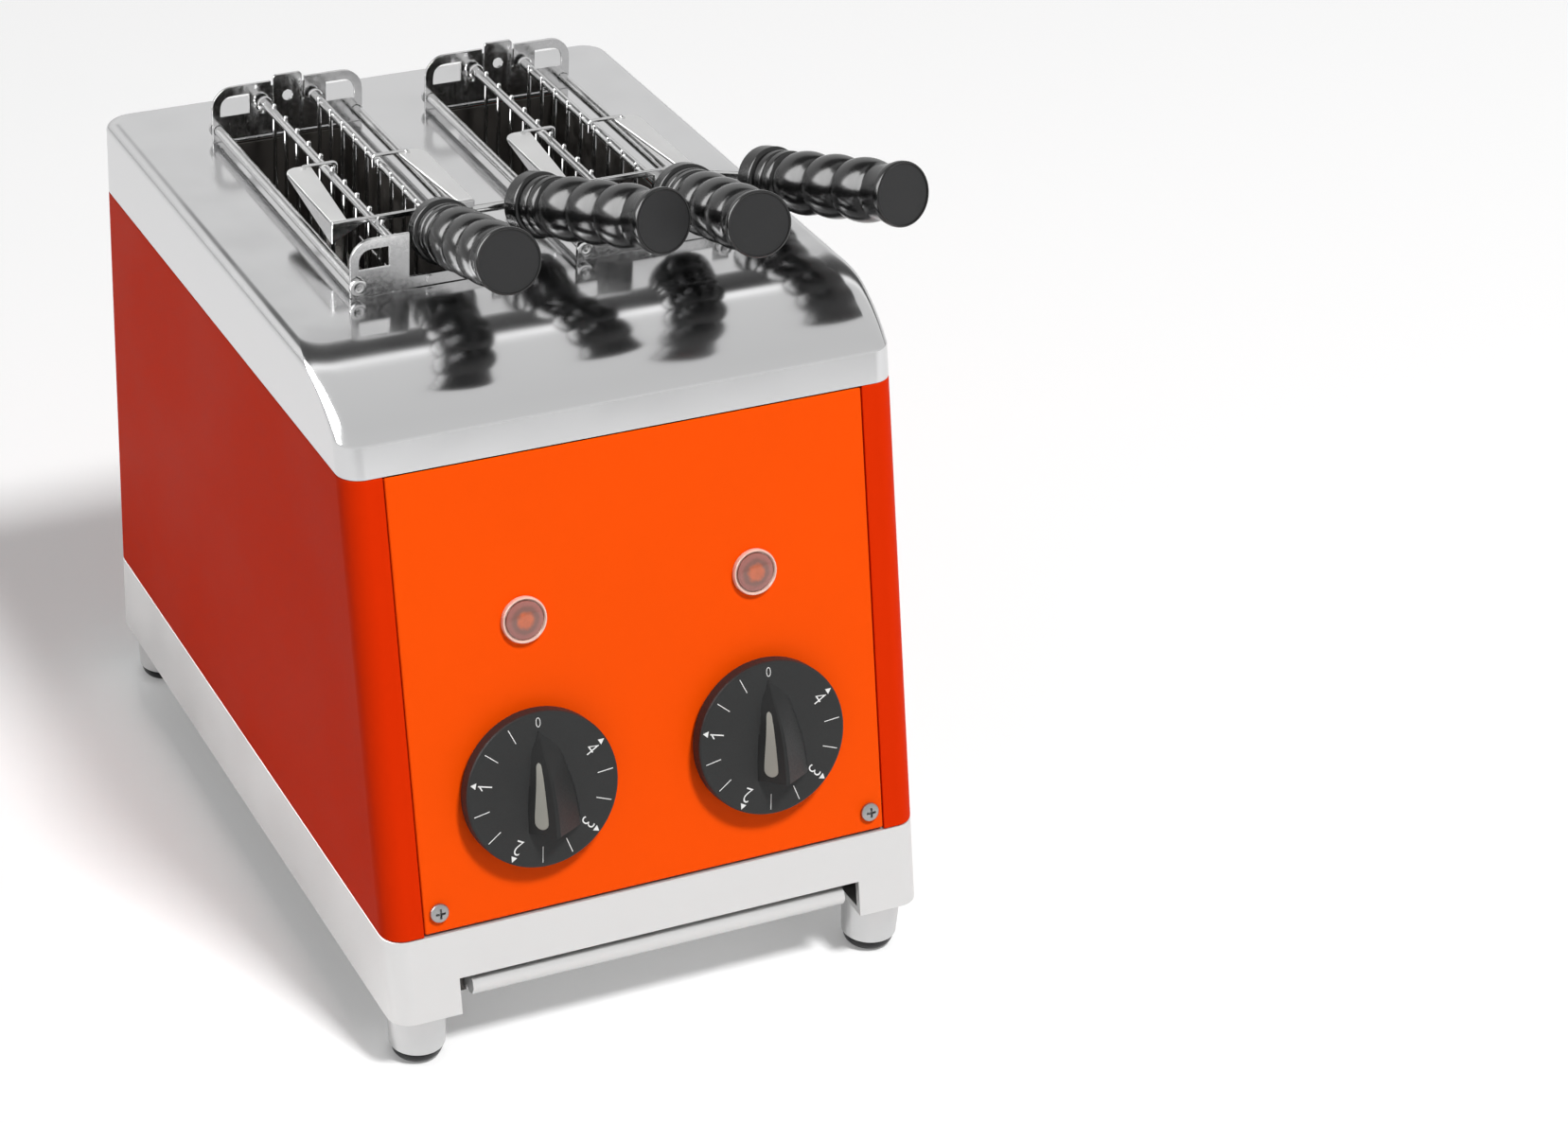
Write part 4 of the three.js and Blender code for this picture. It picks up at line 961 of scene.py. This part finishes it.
class TOASTER_OT_dials(bpy.types.Operator):
    """Make the two timer dials with grips, inserts and printed marks"""

    bl_idname = "toaster.dials"
    bl_label = "Dials"

    def execute(self, context):
        for side, sign in SIDES:
            matrix = panel_matrix(sign * DIAL["across"], DIAL["up"])
            self.disc(side, matrix)
            self.insert(side, matrix)
            self.marks(side, matrix)
        return {"FINISHED"}

    def disc(self, side, matrix):
        gap, radius, chamfer = DIAL["gap"], DIAL["radius"], DIAL["chamfer"]
        shoulder = DIAL_TOP - 1.3
        profile = [(0, gap), (radius - chamfer, gap), (radius, gap + chamfer), (radius, shoulder)]
        profile += [*dome(radius - 1.2, 1.2, shoulder, 1.3, 5), (0, DIAL_TOP)]
        disc = smooth(lathe(f"dial_{side}_disc", profile, matrix, 128), 40)
        piece = merged(f"dial_{side}_body", [disc, self.grip(side, matrix)])
        finishes = ("dark plastic", "flank black", "grip painted shade")
        finish(piece, finishes, f"dial_{side}", f"dial_{side}")
        inward = (TO_FRAME @ matrix).inverted()
        turned = matrix.to_3x3().inverted()
        # Painted shade: grip faces that face left get the near black copy of the dial plastic, and the rest
        # of the grip a darker copy
        for face in piece.data.polygons:
            if (inward @ face.center).z > DIAL_TOP + 0.05:
                face.material_index = 1 if (turned @ face.normal).x < -0.3 else 2

    def grip(self, side, matrix):
        """Six points round each station, from the left foot over the crest."""
        base = DIAL_TOP - DIAL["sunk"]
        rings = []
        for place, left, right, rise in GRIP_STATIONS:
            rings.append([matrix @ Vector((x, place, base + z)) for x, z in (
                (-left, 0), (right, 0), (right * 0.86, rise * 0.3), (right * 0.1, rise + 0.45),
                (-0.2, rise + 0.5), (-left * 0.9, rise * 0.12))])
        return smooth(soften(loft(f"dial_{side}_grip", rings), 0.5, 3, 38), 30)

    def insert(self, side, matrix):
        """A strip on the grip's left flank, rounded at both ends."""
        lift, sunk = INSERT["lift"], INSERT["sunk"]
        rings = []
        for t in (0, 0.012, 0.03, 0.05, *arc(12)[1:-1], 0.95, 0.975, 0.99, 1):
            end = min(t / 0.07, (1 - t) / 0.12, 1)
            width = (0.13 + 0.12 * t) * max(math.sqrt(1 - (1 - end) ** 2), 0.12)
            middle = 0.5 + 0.06 * (1 - t)
            place = INSERT["start"] - INSERT["length"] * t
            low, high = middle - width, middle + width
            corners = ((high, sunk), (high, lift), (low, lift), (low, sunk))
            rings.append([matrix @ self.on_flank(place, share, out) for share, out in corners])
        piece = smooth(loft(f"dial_{side}_inlay", rings), 40)
        finish(piece, "insert grey", f"dial_{side}", f"dial_{side}_insert")

    def on_flank(self, place, share, lift):
        """A point over the grip's left flank, a share of the way up and lifted off it."""
        for (p0, l0, _, r0), (p1, l1, _, r1) in zip(GRIP_STATIONS, GRIP_STATIONS[1:]):
            if p1 <= place <= p0:
                t = (p0 - place) / (p0 - p1)
                left, rise = l0 + (l1 - l0) * t, r0 + (r1 - r0) * t + 0.5
        out = Vector((-rise, 0, left)).normalized() * lift
        return Vector((-left * (1 - share), place, DIAL_TOP - DIAL["sunk"] + rise * share)) + out

    def marks(self, side, matrix):
        """Ticks from a node tree, with triangles and numbers beside them."""
        face = matrix @ Matrix.Translation((0, 0, DIAL_TOP))
        ticks = ticks_on_dial(f"dial_{side}_ticks")
        ticks.data.transform(TO_FRAME @ face)
        work = [ticks]
        for number in range(5):
            turned = face @ Matrix.Rotation(math.radians(NUMBER_STEP * number), 4, "Z")
            work.append(self.numeral(number, turned))
            if number:
                work.append(prism("triangle", TRIANGLE, -MARK_HALF, MARK_HALF, turned))
            if number == 1:
                work.append(prism("flag", FLAG, -MARK_HALF, MARK_HALF, turned))
        piece = merged(f"dial_{side}_marks", work)
        finish(piece, "white print", f"dial_{side}")

    def numeral(self, number, matrix):
        """A narrow figure in the built-in type."""
        curve = bpy.data.curves.new("numeral", "FONT")
        curve.body = str(number)
        curve.size = (sizes().numeral if number else sizes().zero) / MM
        curve.align_x = "CENTER"
        curve.align_y = "CENTER"
        curve.extrude = MARK_HALF
        curve.offset = -0.13
        source = new_object("numeral", curve)
        mesh = evaluated(source)
        bpy.data.objects.remove(source)
        place = Matrix.Translation((0, NUMBER_REACH if number else ZERO_REACH, 0))
        mesh.transform(TO_FRAME @ matrix @ place @ Matrix.Scale(0.82, 4, (1, 0, 0)))
        return new_object("numeral", mesh)


class TOASTER_OT_tongs(bpy.types.Operator):
    """Make the four tong halves: wire grids, bent brackets and ribbed handles"""

    bl_idname = "toaster.tongs"
    bl_label = "Tongs"

    def execute(self, context):
        for (slot, _), x in zip(SIDES, SLOTS):
            for side, sign in SIDES:
                key = f"{slot}_{side}"
                self.grid(key, x, sign)
                self.bracket(key, x, sign)
                self.handle(key)
        return {"FINISHED"}

    def grid(self, key, x, sign):
        """Rail, wires, hinge arm with its eye, and the ring at the rail's rear end."""
        pitch, rear, height = GRID["pitch"], RAIL["rear"], GRID["eye_height"]
        rail_x = x + sign * RAIL["aside"]
        wire_x = rail_x - sign * GRID["inset"]
        rail_z = COVER_TOP + RAIL["rise"]
        low = rail_z - GRID["depth"]
        top = rail_z + RAIL["radius"] + GRID["above"]
        step = GRID["depth"] / 3
        front = RAIL["front"] if sign < 0 else RAIL["short"]
        count = int((GRID["rear"] - GRID["front"] - pitch / 2) // pitch) + 1
        start = (GRID["front"] + GRID["rear"] - (count - 1) * pitch) / 2
        past = pitch / 4
        end = start + (count - 1) * pitch + past
        short = sum(1 for i in range(count) if start + i * pitch <= front)

        def bar(name, across, z, first, last, radius, sides, edge):
            return round_bar(name, (across, first, z), (across, last, z), radius, sides, edge)

        parts = [
            bar("rail", rail_x, rail_z, front, rear, RAIL["radius"], 24, 0.5),
            bar("low rail", wire_x, low, GRID["front"], GRID["rear"], GRID["low_rail"], 20, 0.4),
            wire_rank("long wires", wire_x, low, top, start + short * pitch, count - short),
        ]
        if short:
            parts.append(wire_rank("short wires", wire_x, low, rail_z - step, start, short))
        for z in (low + step, low + 2 * step):
            parts.append(bar("cross wire", wire_x, z, start - past, end, GRID["cross"], 12, 0))
        hinge = rear - GRID["hinge"]
        eye = low - height if sign < 0 else low + SEAT
        parts.append(round_bar("eye", (x, hinge, eye), (x, hinge, eye + height), GRID["eye"], 24, 0.4))
        arm = sorted((x, wire_x + sign * 0.8))
        parts.append(block("arm", *arm, hinge - GRID["arm"], hinge + GRID["arm"], eye, eye + height))
        parts.append(bar("end ring", rail_x, rail_z, rear - 1.6, rear - 0.01, GRID["ring"], 24, 0.4))
        for part in parts:
            part.data.materials.clear()
            smooth(part, 40)
        piece = merged(f"tong_{key}_wires", parts)
        finish(piece, "chrome wire", f"tong_{key}", f"tong_{key}_grid")

    def bracket(self, key, x, sign):
        """Leaf with its front fold, arm to the handle, stub in the handle and loop round the rail."""
        front, wall, bar, strip, drop = (LEAF[name] for name in ("front", "wall", "bar", "strip", "drop"))
        outer = x + sign * LEAF["outer"]
        inner = outer - sign * LEAF["fold"]
        top = COVER_TOP + RAIL["rise"] + RAIL["radius"] + LEAF["rise"]
        rear = front + LEAF["length"]
        self.leaf(key, sign, outer, rear, top)
        matrix = handle_matrix(key)
        root, axis = matrix.translation, matrix.to_3x3() @ Vector((0, 0, 1))
        middle = front - bar / 2
        back = root - axis * ((root.y - middle) / axis.y)
        fold = [(outer, top - 0.15), (outer, top - drop), (inner, top - strip), (inner, top - 0.15)]
        turn = rear - LEAF["corner"]
        web = [(front, top - drop), (turn, top - wall), (turn, top - 0.2), (front, top - 0.2)]
        parts = [
            soften(upright("fold", fold, front - bar + 0.25, front + 0.2), 0.3, 2, 60),
            sideways("web", web, outer, outer - sign * wall),
            round_bar("stub", back, root + axis * 20, LEAF["stub"], 20),
            self.loop(x, sign, outer, rear - wall, top + 0.2),
        ]
        if sign < 0:
            end = back.x + bar / 2
            outline = [
                (outer, top), (outer, top - strip), (end - 6, top - strip), (end - 6, back.z - 2),
                (end, back.z - 2), (end, top)]
            parts.append(soften(upright("strip", outline, front - bar, front - 0.2), 0.55, 3, 60))
        else:
            start = Vector((outer - 1, middle, top - drop / 2))
            parts.append(round_bar("arm", start, back, LEAF["arm"], 20))
            parts.append(ball("elbow", back, LEAF["arm"] + 0.2))
        for part in parts:
            smooth(part, 40)
        piece = merged(f"tong_{key}_bracket_skin", parts)
        finish(piece, "chrome wire", f"tong_{key}", f"tong_{key}_bracket")

    def leaf(self, key, sign, outer, rear, top):
        """The plate on top, bright above and painted dark underneath as shade."""
        front, corner = LEAF["front"], LEAF["corner"]
        plan = [(outer, front), (outer - sign * LEAF["narrow"], front), (outer - sign * LEAF["wide"], rear)]
        for turn in quarter(6):
            inward = corner * (1 - math.sin(turn))
            plan.append((outer - sign * inward, rear - corner * (1 - math.cos(turn))))
        piece = smooth(soften(prism(f"tong_{key}_leaf", plan, top - LEAF["wall"], top), 0.6, 3, 60), 40)
        finish(piece, ("satin leaf", "heated steel and painted shade"), f"tong_{key}")
        # Painted shade: faces that face down get the dark steel as shade under the leaf
        for face in piece.data.polygons:
            face.material_index = 1 if face.normal.z < -0.5 else 0

    def loop(self, x, sign, outer, y, z):
        """A wire that ties the leaf to the rail."""
        wire = sizes().loop_wire / MM
        start = outer - sign * (LEAF["wide"] - 4)
        end = x + sign * (RAIL["aside"] - RAIL["radius"] - wire - 0.4)
        path = [(start, y - 2.5, z), (start, y, z), (end, y, z), (end, y, z - 5.2)]
        return bent_wire("loop", rounded_path(path, 1.8), wire)

    def handle(self, key):
        """Collar, beads, a flare and a dished end."""
        matrix = handle_matrix(key)
        bead, groove = sizes().bead / MM, sizes().groove / MM
        start, pitch, end, cap = (GRIP[name] for name in ("start", "pitch", "length", "cap"))
        profile = [(0, 0), *GRIP["collar"]]
        for number in range(GRIP["beads"]):
            for t in arc(14)[1:]:
                swell = (bead - groove) * math.sin(t * math.pi) ** 0.75
                profile.append((groove + swell, start + (number + t) * pitch))
        flare = start + GRIP["beads"] * pitch
        for t in arc(10)[1:]:
            place = flare + (end - GRIP["cap_length"] - flare) * t
            profile.append((groove + (cap - groove) * t**1.6, place))
        profile += [(cap - inward, end - short) for inward, short in GRIP["rim"]]
        profile.append((0, end - GRIP["dish"]))
        piece = smooth(lathe(f"tong_{key}_grip", profile, matrix), 50)
        finishes = ("gloss black", "cap black")
        finish(piece, finishes, f"tong_{key}", f"tong_{key}_handle")
        inward = (TO_FRAME @ matrix).inverted()
        axis = matrix.to_3x3() @ Vector((0, 0, 1))
        for face in piece.data.polygons:
            in_dish = abs((inward @ face.center).z - end + GRIP["dish"]) < 0.1
            if in_dish and abs(face.normal.dot(axis)) > 0.98:
                face.material_index = 1


class TOASTER_OT_slots(bpy.types.Operator):
    """Make the end brackets and outer rods of both slots"""

    bl_idname = "toaster.slots"
    bl_label = "Slot hardware"

    def execute(self, context):
        for (slot, _), x in zip(SIDES, SLOTS):
            self.end_bracket(f"front_bracket_{slot}", [])
            self.end_bracket(f"rear_bracket_{slot}", [self.backing(x + side) for side in (-7.1, 7.1)])
            for side, sign in SIDES:
                self.rod(f"outer_rod_{slot}_{side}", x + sign * ROD["aside"])
        return {"FINISHED"}

    def end_bracket(self, node, backings):
        piece = from_node(f"{node}_skin", node, 0.3, 42)
        if backings:
            piece = merged(f"{node}_skin", [piece, *backings])
        finish(piece, "chrome wire", "housing", node)

    def backing(self, x):
        """A thin plate behind one slit of a rear bracket."""
        rear = SLOT_SPAN[1] + SEAT
        piece = block("back", x - 0.7, x + 0.7, rear + 0.7, rear + 1.3, COVER_TOP + 14, COVER_TOP + 22.4)
        return smooth(piece, 40)

    def rod(self, node, x):
        """A round rod with a turned head at each end and a dimple in the front one."""
        head, radius, thick = ROD["head"], ROD["radius"], ROD["head_length"]
        z = COVER_TOP + ROD["rise"]
        front = BRACKET_FRONT - SEAT - thick
        rear = SLOT_SPAN[1] + ROD["past"]
        length = rear - front + thick
        profile = [
            (0, 1.2), (1.25, 1.2), (1.3, 0.1), (1.5, 0), (head - 0.6, 0), (head - 0.1, 0.35), (head, 0.9),
            (head, thick), (radius, thick), (radius, length - thick), (head, length - thick),
            (head, length - 0.9), (head - 0.5, length), (0, length),
        ]
        piece = lathe(f"{node}_skin", profile, along((x, front, z), (x, rear, z)), 48)
        finish(smooth(piece, 40), "chrome wire", "housing", node)


class TOASTER_OT_fittings(bpy.types.Operator):
    """Make the panel screws, the crumb tray and the cord inlet, and finish what stays hidden"""

    bl_idname = "toaster.fittings"
    bl_label = "Fittings"

    def execute(self, context):
        for side, sign in SIDES:
            self.screw(side, sign)
        tray = from_node("crumb_tray_skin", "crumb_tray", 0.2, 50)
        finish(tray, "satin steel", "crumb_tray", "crumb_tray")
        gland = from_node("cord_gland_skin", "cord_gland", 0.5, 50)
        finish(gland, "dark plastic", "housing", "cord_gland")
        hidden = {"chassis_floor": "heated steel and painted shade"}
        for side, _ in SIDES:
            hidden[f"chamber_{side}"] = "heated steel and painted shade"
            hidden[f"timer_{side}"] = "dark plastic"
            hidden[f"timer_{side}_shaft"] = "turned aluminium"
            for bank, _ in SIDES:
                hidden[f"heater_{side}_{bank}"] = "frosted quartz"
        for node, finish_name in hidden.items():
            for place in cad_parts[node].material_slots:
                place.material = material(finish_name)
        return {"FINISHED"}

    def screw(self, side, sign):
        """A domed head with a cross that narrows as it goes down."""
        matrix = panel_matrix(sign * SCREW["across"], SCREW["up"])
        radius = SCREW["radius"]
        profile = [(0, 0.3), (radius - 0.15, 0.3), (radius, 0.5), (radius, 1.2)]
        profile += dome(0, radius, 1.2, 1.4, 8)
        head = lathe(f"panel_screw_{side}_head", profile, matrix, 48)
        tools = []
        for wide, tall in ((2.5, 0.55), (0.55, 2.5)):
            plan = ((-wide, -tall), (wide, -tall), (wide, tall), (-wide, tall))
            rings = [[matrix @ Vector((x * s, y * s, z)) for x, y in plan] for z, s in ((1, 0.62), (4, 1.15))]
            tools.append(loft("cross", rings))
        smooth(cut(head, *tools))
        finish(head, "screw steel", "housing", f"panel_screw_{side}")


class TOASTER_OT_stage(bpy.types.Operator):
    """Make the floor, the lights, the surroundings and the camera"""

    bl_idname = "toaster.stage"
    bl_label = "Stage"

    def execute(self, context):
        self.camera(context)
        self.floor()
        self.surroundings(context)
        self.lights()
        return {"FINISHED"}

    def camera(self, context):
        lens = bpy.data.cameras.new("camera")
        eye = new_object("camera", lens)
        azimuth, elevation, roll = (math.radians(CAMERA[name]) for name in ("azimuth", "elevation", "roll"))
        flat = math.cos(elevation)
        back = Vector((math.sin(azimuth) * flat, -math.cos(azimuth) * flat, math.sin(elevation)))
        right = Vector((math.cos(azimuth), math.sin(azimuth), 0))
        up = back.cross(right)
        across = right * math.cos(roll) + up * math.sin(roll)
        upward = up * math.cos(roll) - right * math.sin(roll)
        place = Matrix((across, upward, back)).transposed().to_4x4()
        place.translation = TO_FRAME @ Vector(CAMERA["place"])
        eye.matrix_world = place
        lens.sensor_width = SENSOR
        lens.lens = CAMERA["focal"] / PHOTO_WIDTH * SENSOR
        lens.shift_x = 0.5 - CAMERA["middle"] / PHOTO_WIDTH
        lens.clip_start = CAMERA["near"]
        lens.clip_end = CAMERA["far"]
        context.scene.camera = eye

    def floor(self):
        """A light floor that lights nothing by its glow, which only the camera and reflections see."""
        mesh = bpy.data.meshes.new("floor")
        corners = [(x * FLOOR_REACH, y * FLOOR_REACH, 0) for x, y in ((-1, -1), (1, -1), (1, 1), (-1, 1))]
        mesh.from_pydata(corners, [], [(0, 1, 2, 3)])
        shade = Shade("floor")
        seen = shade.maths("MAXIMUM", shade.ray("Camera"), shade.ray("Glossy"))
        seen = shade.maths("MAXIMUM", seen, shade.ray("Transmission"))
        shade.set_surface(
            base_color=(0.8, 0.8, 0.8, 1), roughness=0.9, specular_ior_level=0.0, emission_strength=1.0,
            emission_color=shade.mix(seen, (0, 0, 0), (0.2, 0.2, 0.2)),
        )
        mesh.materials.append(shade.material)
        new_object("floor", mesh)

    def surroundings(self, context):
        """White to the camera, a studio with a dark band in reflections, even grey light otherwise."""
        world = bpy.data.worlds.new("surroundings")
        context.scene.world = world
        shade = Shade("surroundings", world)
        where = shade.add("ShaderNodeTexCoord", output="Generated")
        y, z = (shade.add("ShaderNodeSeparateXYZ", None, {"Vector": where}, axis) for axis in "YZ")
        height = shade.maths("ARCTAN2", z, y) / math.pi
        studio = shade.add("ShaderNodeValToRGB", {"stops": STUDIO}, {"Fac": height})
        colour = shade.mix(shade.ray("Glossy"), (AMBIENT,) * 3, studio)
        shade.set_surface(color=shade.mix(shade.ray("Camera"), colour, (1, 1, 1)))

    def lights(self):
        """A high key light, and a soft box that only reflections see."""
        for name, direction, distance, size, power, diffuse in LIGHTS:
            lamp = bpy.data.lights.new(name, "AREA")
            lamp.shape = "SQUARE"
            lamp.size = size
            lamp.energy = power
            source = new_object(name, lamp)
            source.visible_diffuse = diffuse
            source.visible_glossy = not diffuse
            source.location = AIM + Vector(direction).normalized() * distance
            source.rotation_mode = "QUATERNION"
            source.rotation_quaternion = (AIM - source.location).to_track_quat("-Z", "Y")


def tint(name, description, default):
    return FloatVectorProperty(
        name=name, description=description, subtype="COLOR", size=3, min=0, max=1, default=default)


def length(name, description, millimetres):
    return FloatProperty(
        name=name, description=description, unit="LENGTH", min=0, default=millimetres * MM)


class ToasterColours(bpy.types.PropertyGroup):
    """Colours and polish that a user would change"""

    panel: tint("Panel", "Colour of the painted front panel", (0.95, 0.082, 0.001))
    shell: tint("Shell", "Colour of the painted sides and back", (0.7125, 0.0279, 0.0008))
    cover: tint("Cover", "Colour of the polished cover", (0.68, 0.68, 0.685))
    base: tint("Base", "Colour of the satin base and crumb tray", (0.76, 0.76, 0.755))
    dial: tint("Dials", "Colour of the dials and their grips", (0.02, 0.0205, 0.0205))
    insert: tint("Inserts", "Colour of the strip on each grip", (0.34, 0.335, 0.3))
    marks: tint("Marks", "Colour of the numbers and ticks", (0.86, 0.86, 0.85))
    handle: tint("Handles", "Colour of the ribbed handles", (0.011, 0.011, 0.011))
    cap: tint("Handle ends", "Colour of the flat end of each handle", (0.021, 0.021, 0.0215))
    rubber: tint("Foot tips", "Colour of the rubber under the feet", (0.012, 0.012, 0.013))
    ring: tint("Lamp rings", "Colour of the ring round each lamp", (0.95, 0.62, 0.52))
    lens: tint("Lamps", "Colour of the middle of each lamp", (0.62, 0.12, 0.03))
    polish: FloatProperty(
        name="Polish", description="Roughness of the polished cover", subtype="FACTOR", min=0, max=1,
        default=0.12)


class ToasterSizes(bpy.types.PropertyGroup):
    """Fine sizes that a user would change"""

    base_edge: length("Base edge", "Rounding of the edges of the base", 0.7)
    shell_edge: length("Shell edge", "Rounding of the edges of the shell", 0.35)
    panel_edge: length("Panel edge", "Rounding of the edges of the front panel", 0.8)
    cover_edge: length("Cover edge", "Rounding of the cut edges of the cover", 0.25)
    numeral: length("Numbers", "Type size of the numbers 1 to 4 on the dials", 9.4)
    zero: length("Zero", "Type size of the zero on the dials", 6.2)
    tick_length: length("Tick length", "Length of the ticks on the dials", 6.8)
    tick_width: length("Tick width", "Width of the ticks on the dials", 0.34)
    grid_wire: length("Grid wire", "Radius of the upright wires of the grids", 0.9)
    loop_wire: length("Loop wire", "Radius of the wire that ties each leaf to its rail", 0.85)
    bead: length("Bead", "Radius of the beads of the handles", 13.3)
    groove: length("Groove", "Radius of the handles between their beads", 11.2)


class TOASTER_PT_panel(bpy.types.Panel):
    """Shows the toaster's colours and sizes, and a button for each step"""

    bl_idname = "TOASTER_PT_panel"
    bl_label = "Toaster"
    bl_space_type = "VIEW_3D"
    bl_region_type = "UI"
    bl_category = "Toaster"

    def draw(self, context):
        for group, kind in ((colours(), ToasterColours), (sizes(), ToasterSizes)):
            for name in kind.__annotations__:
                self.layout.prop(group, name)
        for step in STEPS:
            self.layout.operator(step.bl_idname)


STEPS = (
    TOASTER_OT_stage, TOASTER_OT_housing, TOASTER_OT_cover, TOASTER_OT_feet, TOASTER_OT_lamps,
    TOASTER_OT_dials, TOASTER_OT_slots, TOASTER_OT_tongs, TOASTER_OT_fittings,
)
CLASSES = (ToasterColours, ToasterSizes, *STEPS, TOASTER_PT_panel)


def register():
    for item in CLASSES:
        bpy.utils.register_class(item)
    bpy.types.Scene.toaster_colours = PointerProperty(type=ToasterColours)
    bpy.types.Scene.toaster_sizes = PointerProperty(type=ToasterSizes)


def unregister():
    del bpy.types.Scene.toaster_colours
    del bpy.types.Scene.toaster_sizes
    for item in reversed(CLASSES):
        bpy.utils.unregister_class(item)


def main():
    register()
    scene = bpy.context.scene
    scene.view_settings.view_transform = "Standard"
    for step in STEPS:
        group, name = step.bl_idname.split(".")
        getattr(getattr(bpy.ops, group), name)()


if __name__ == "__main__":
    main()
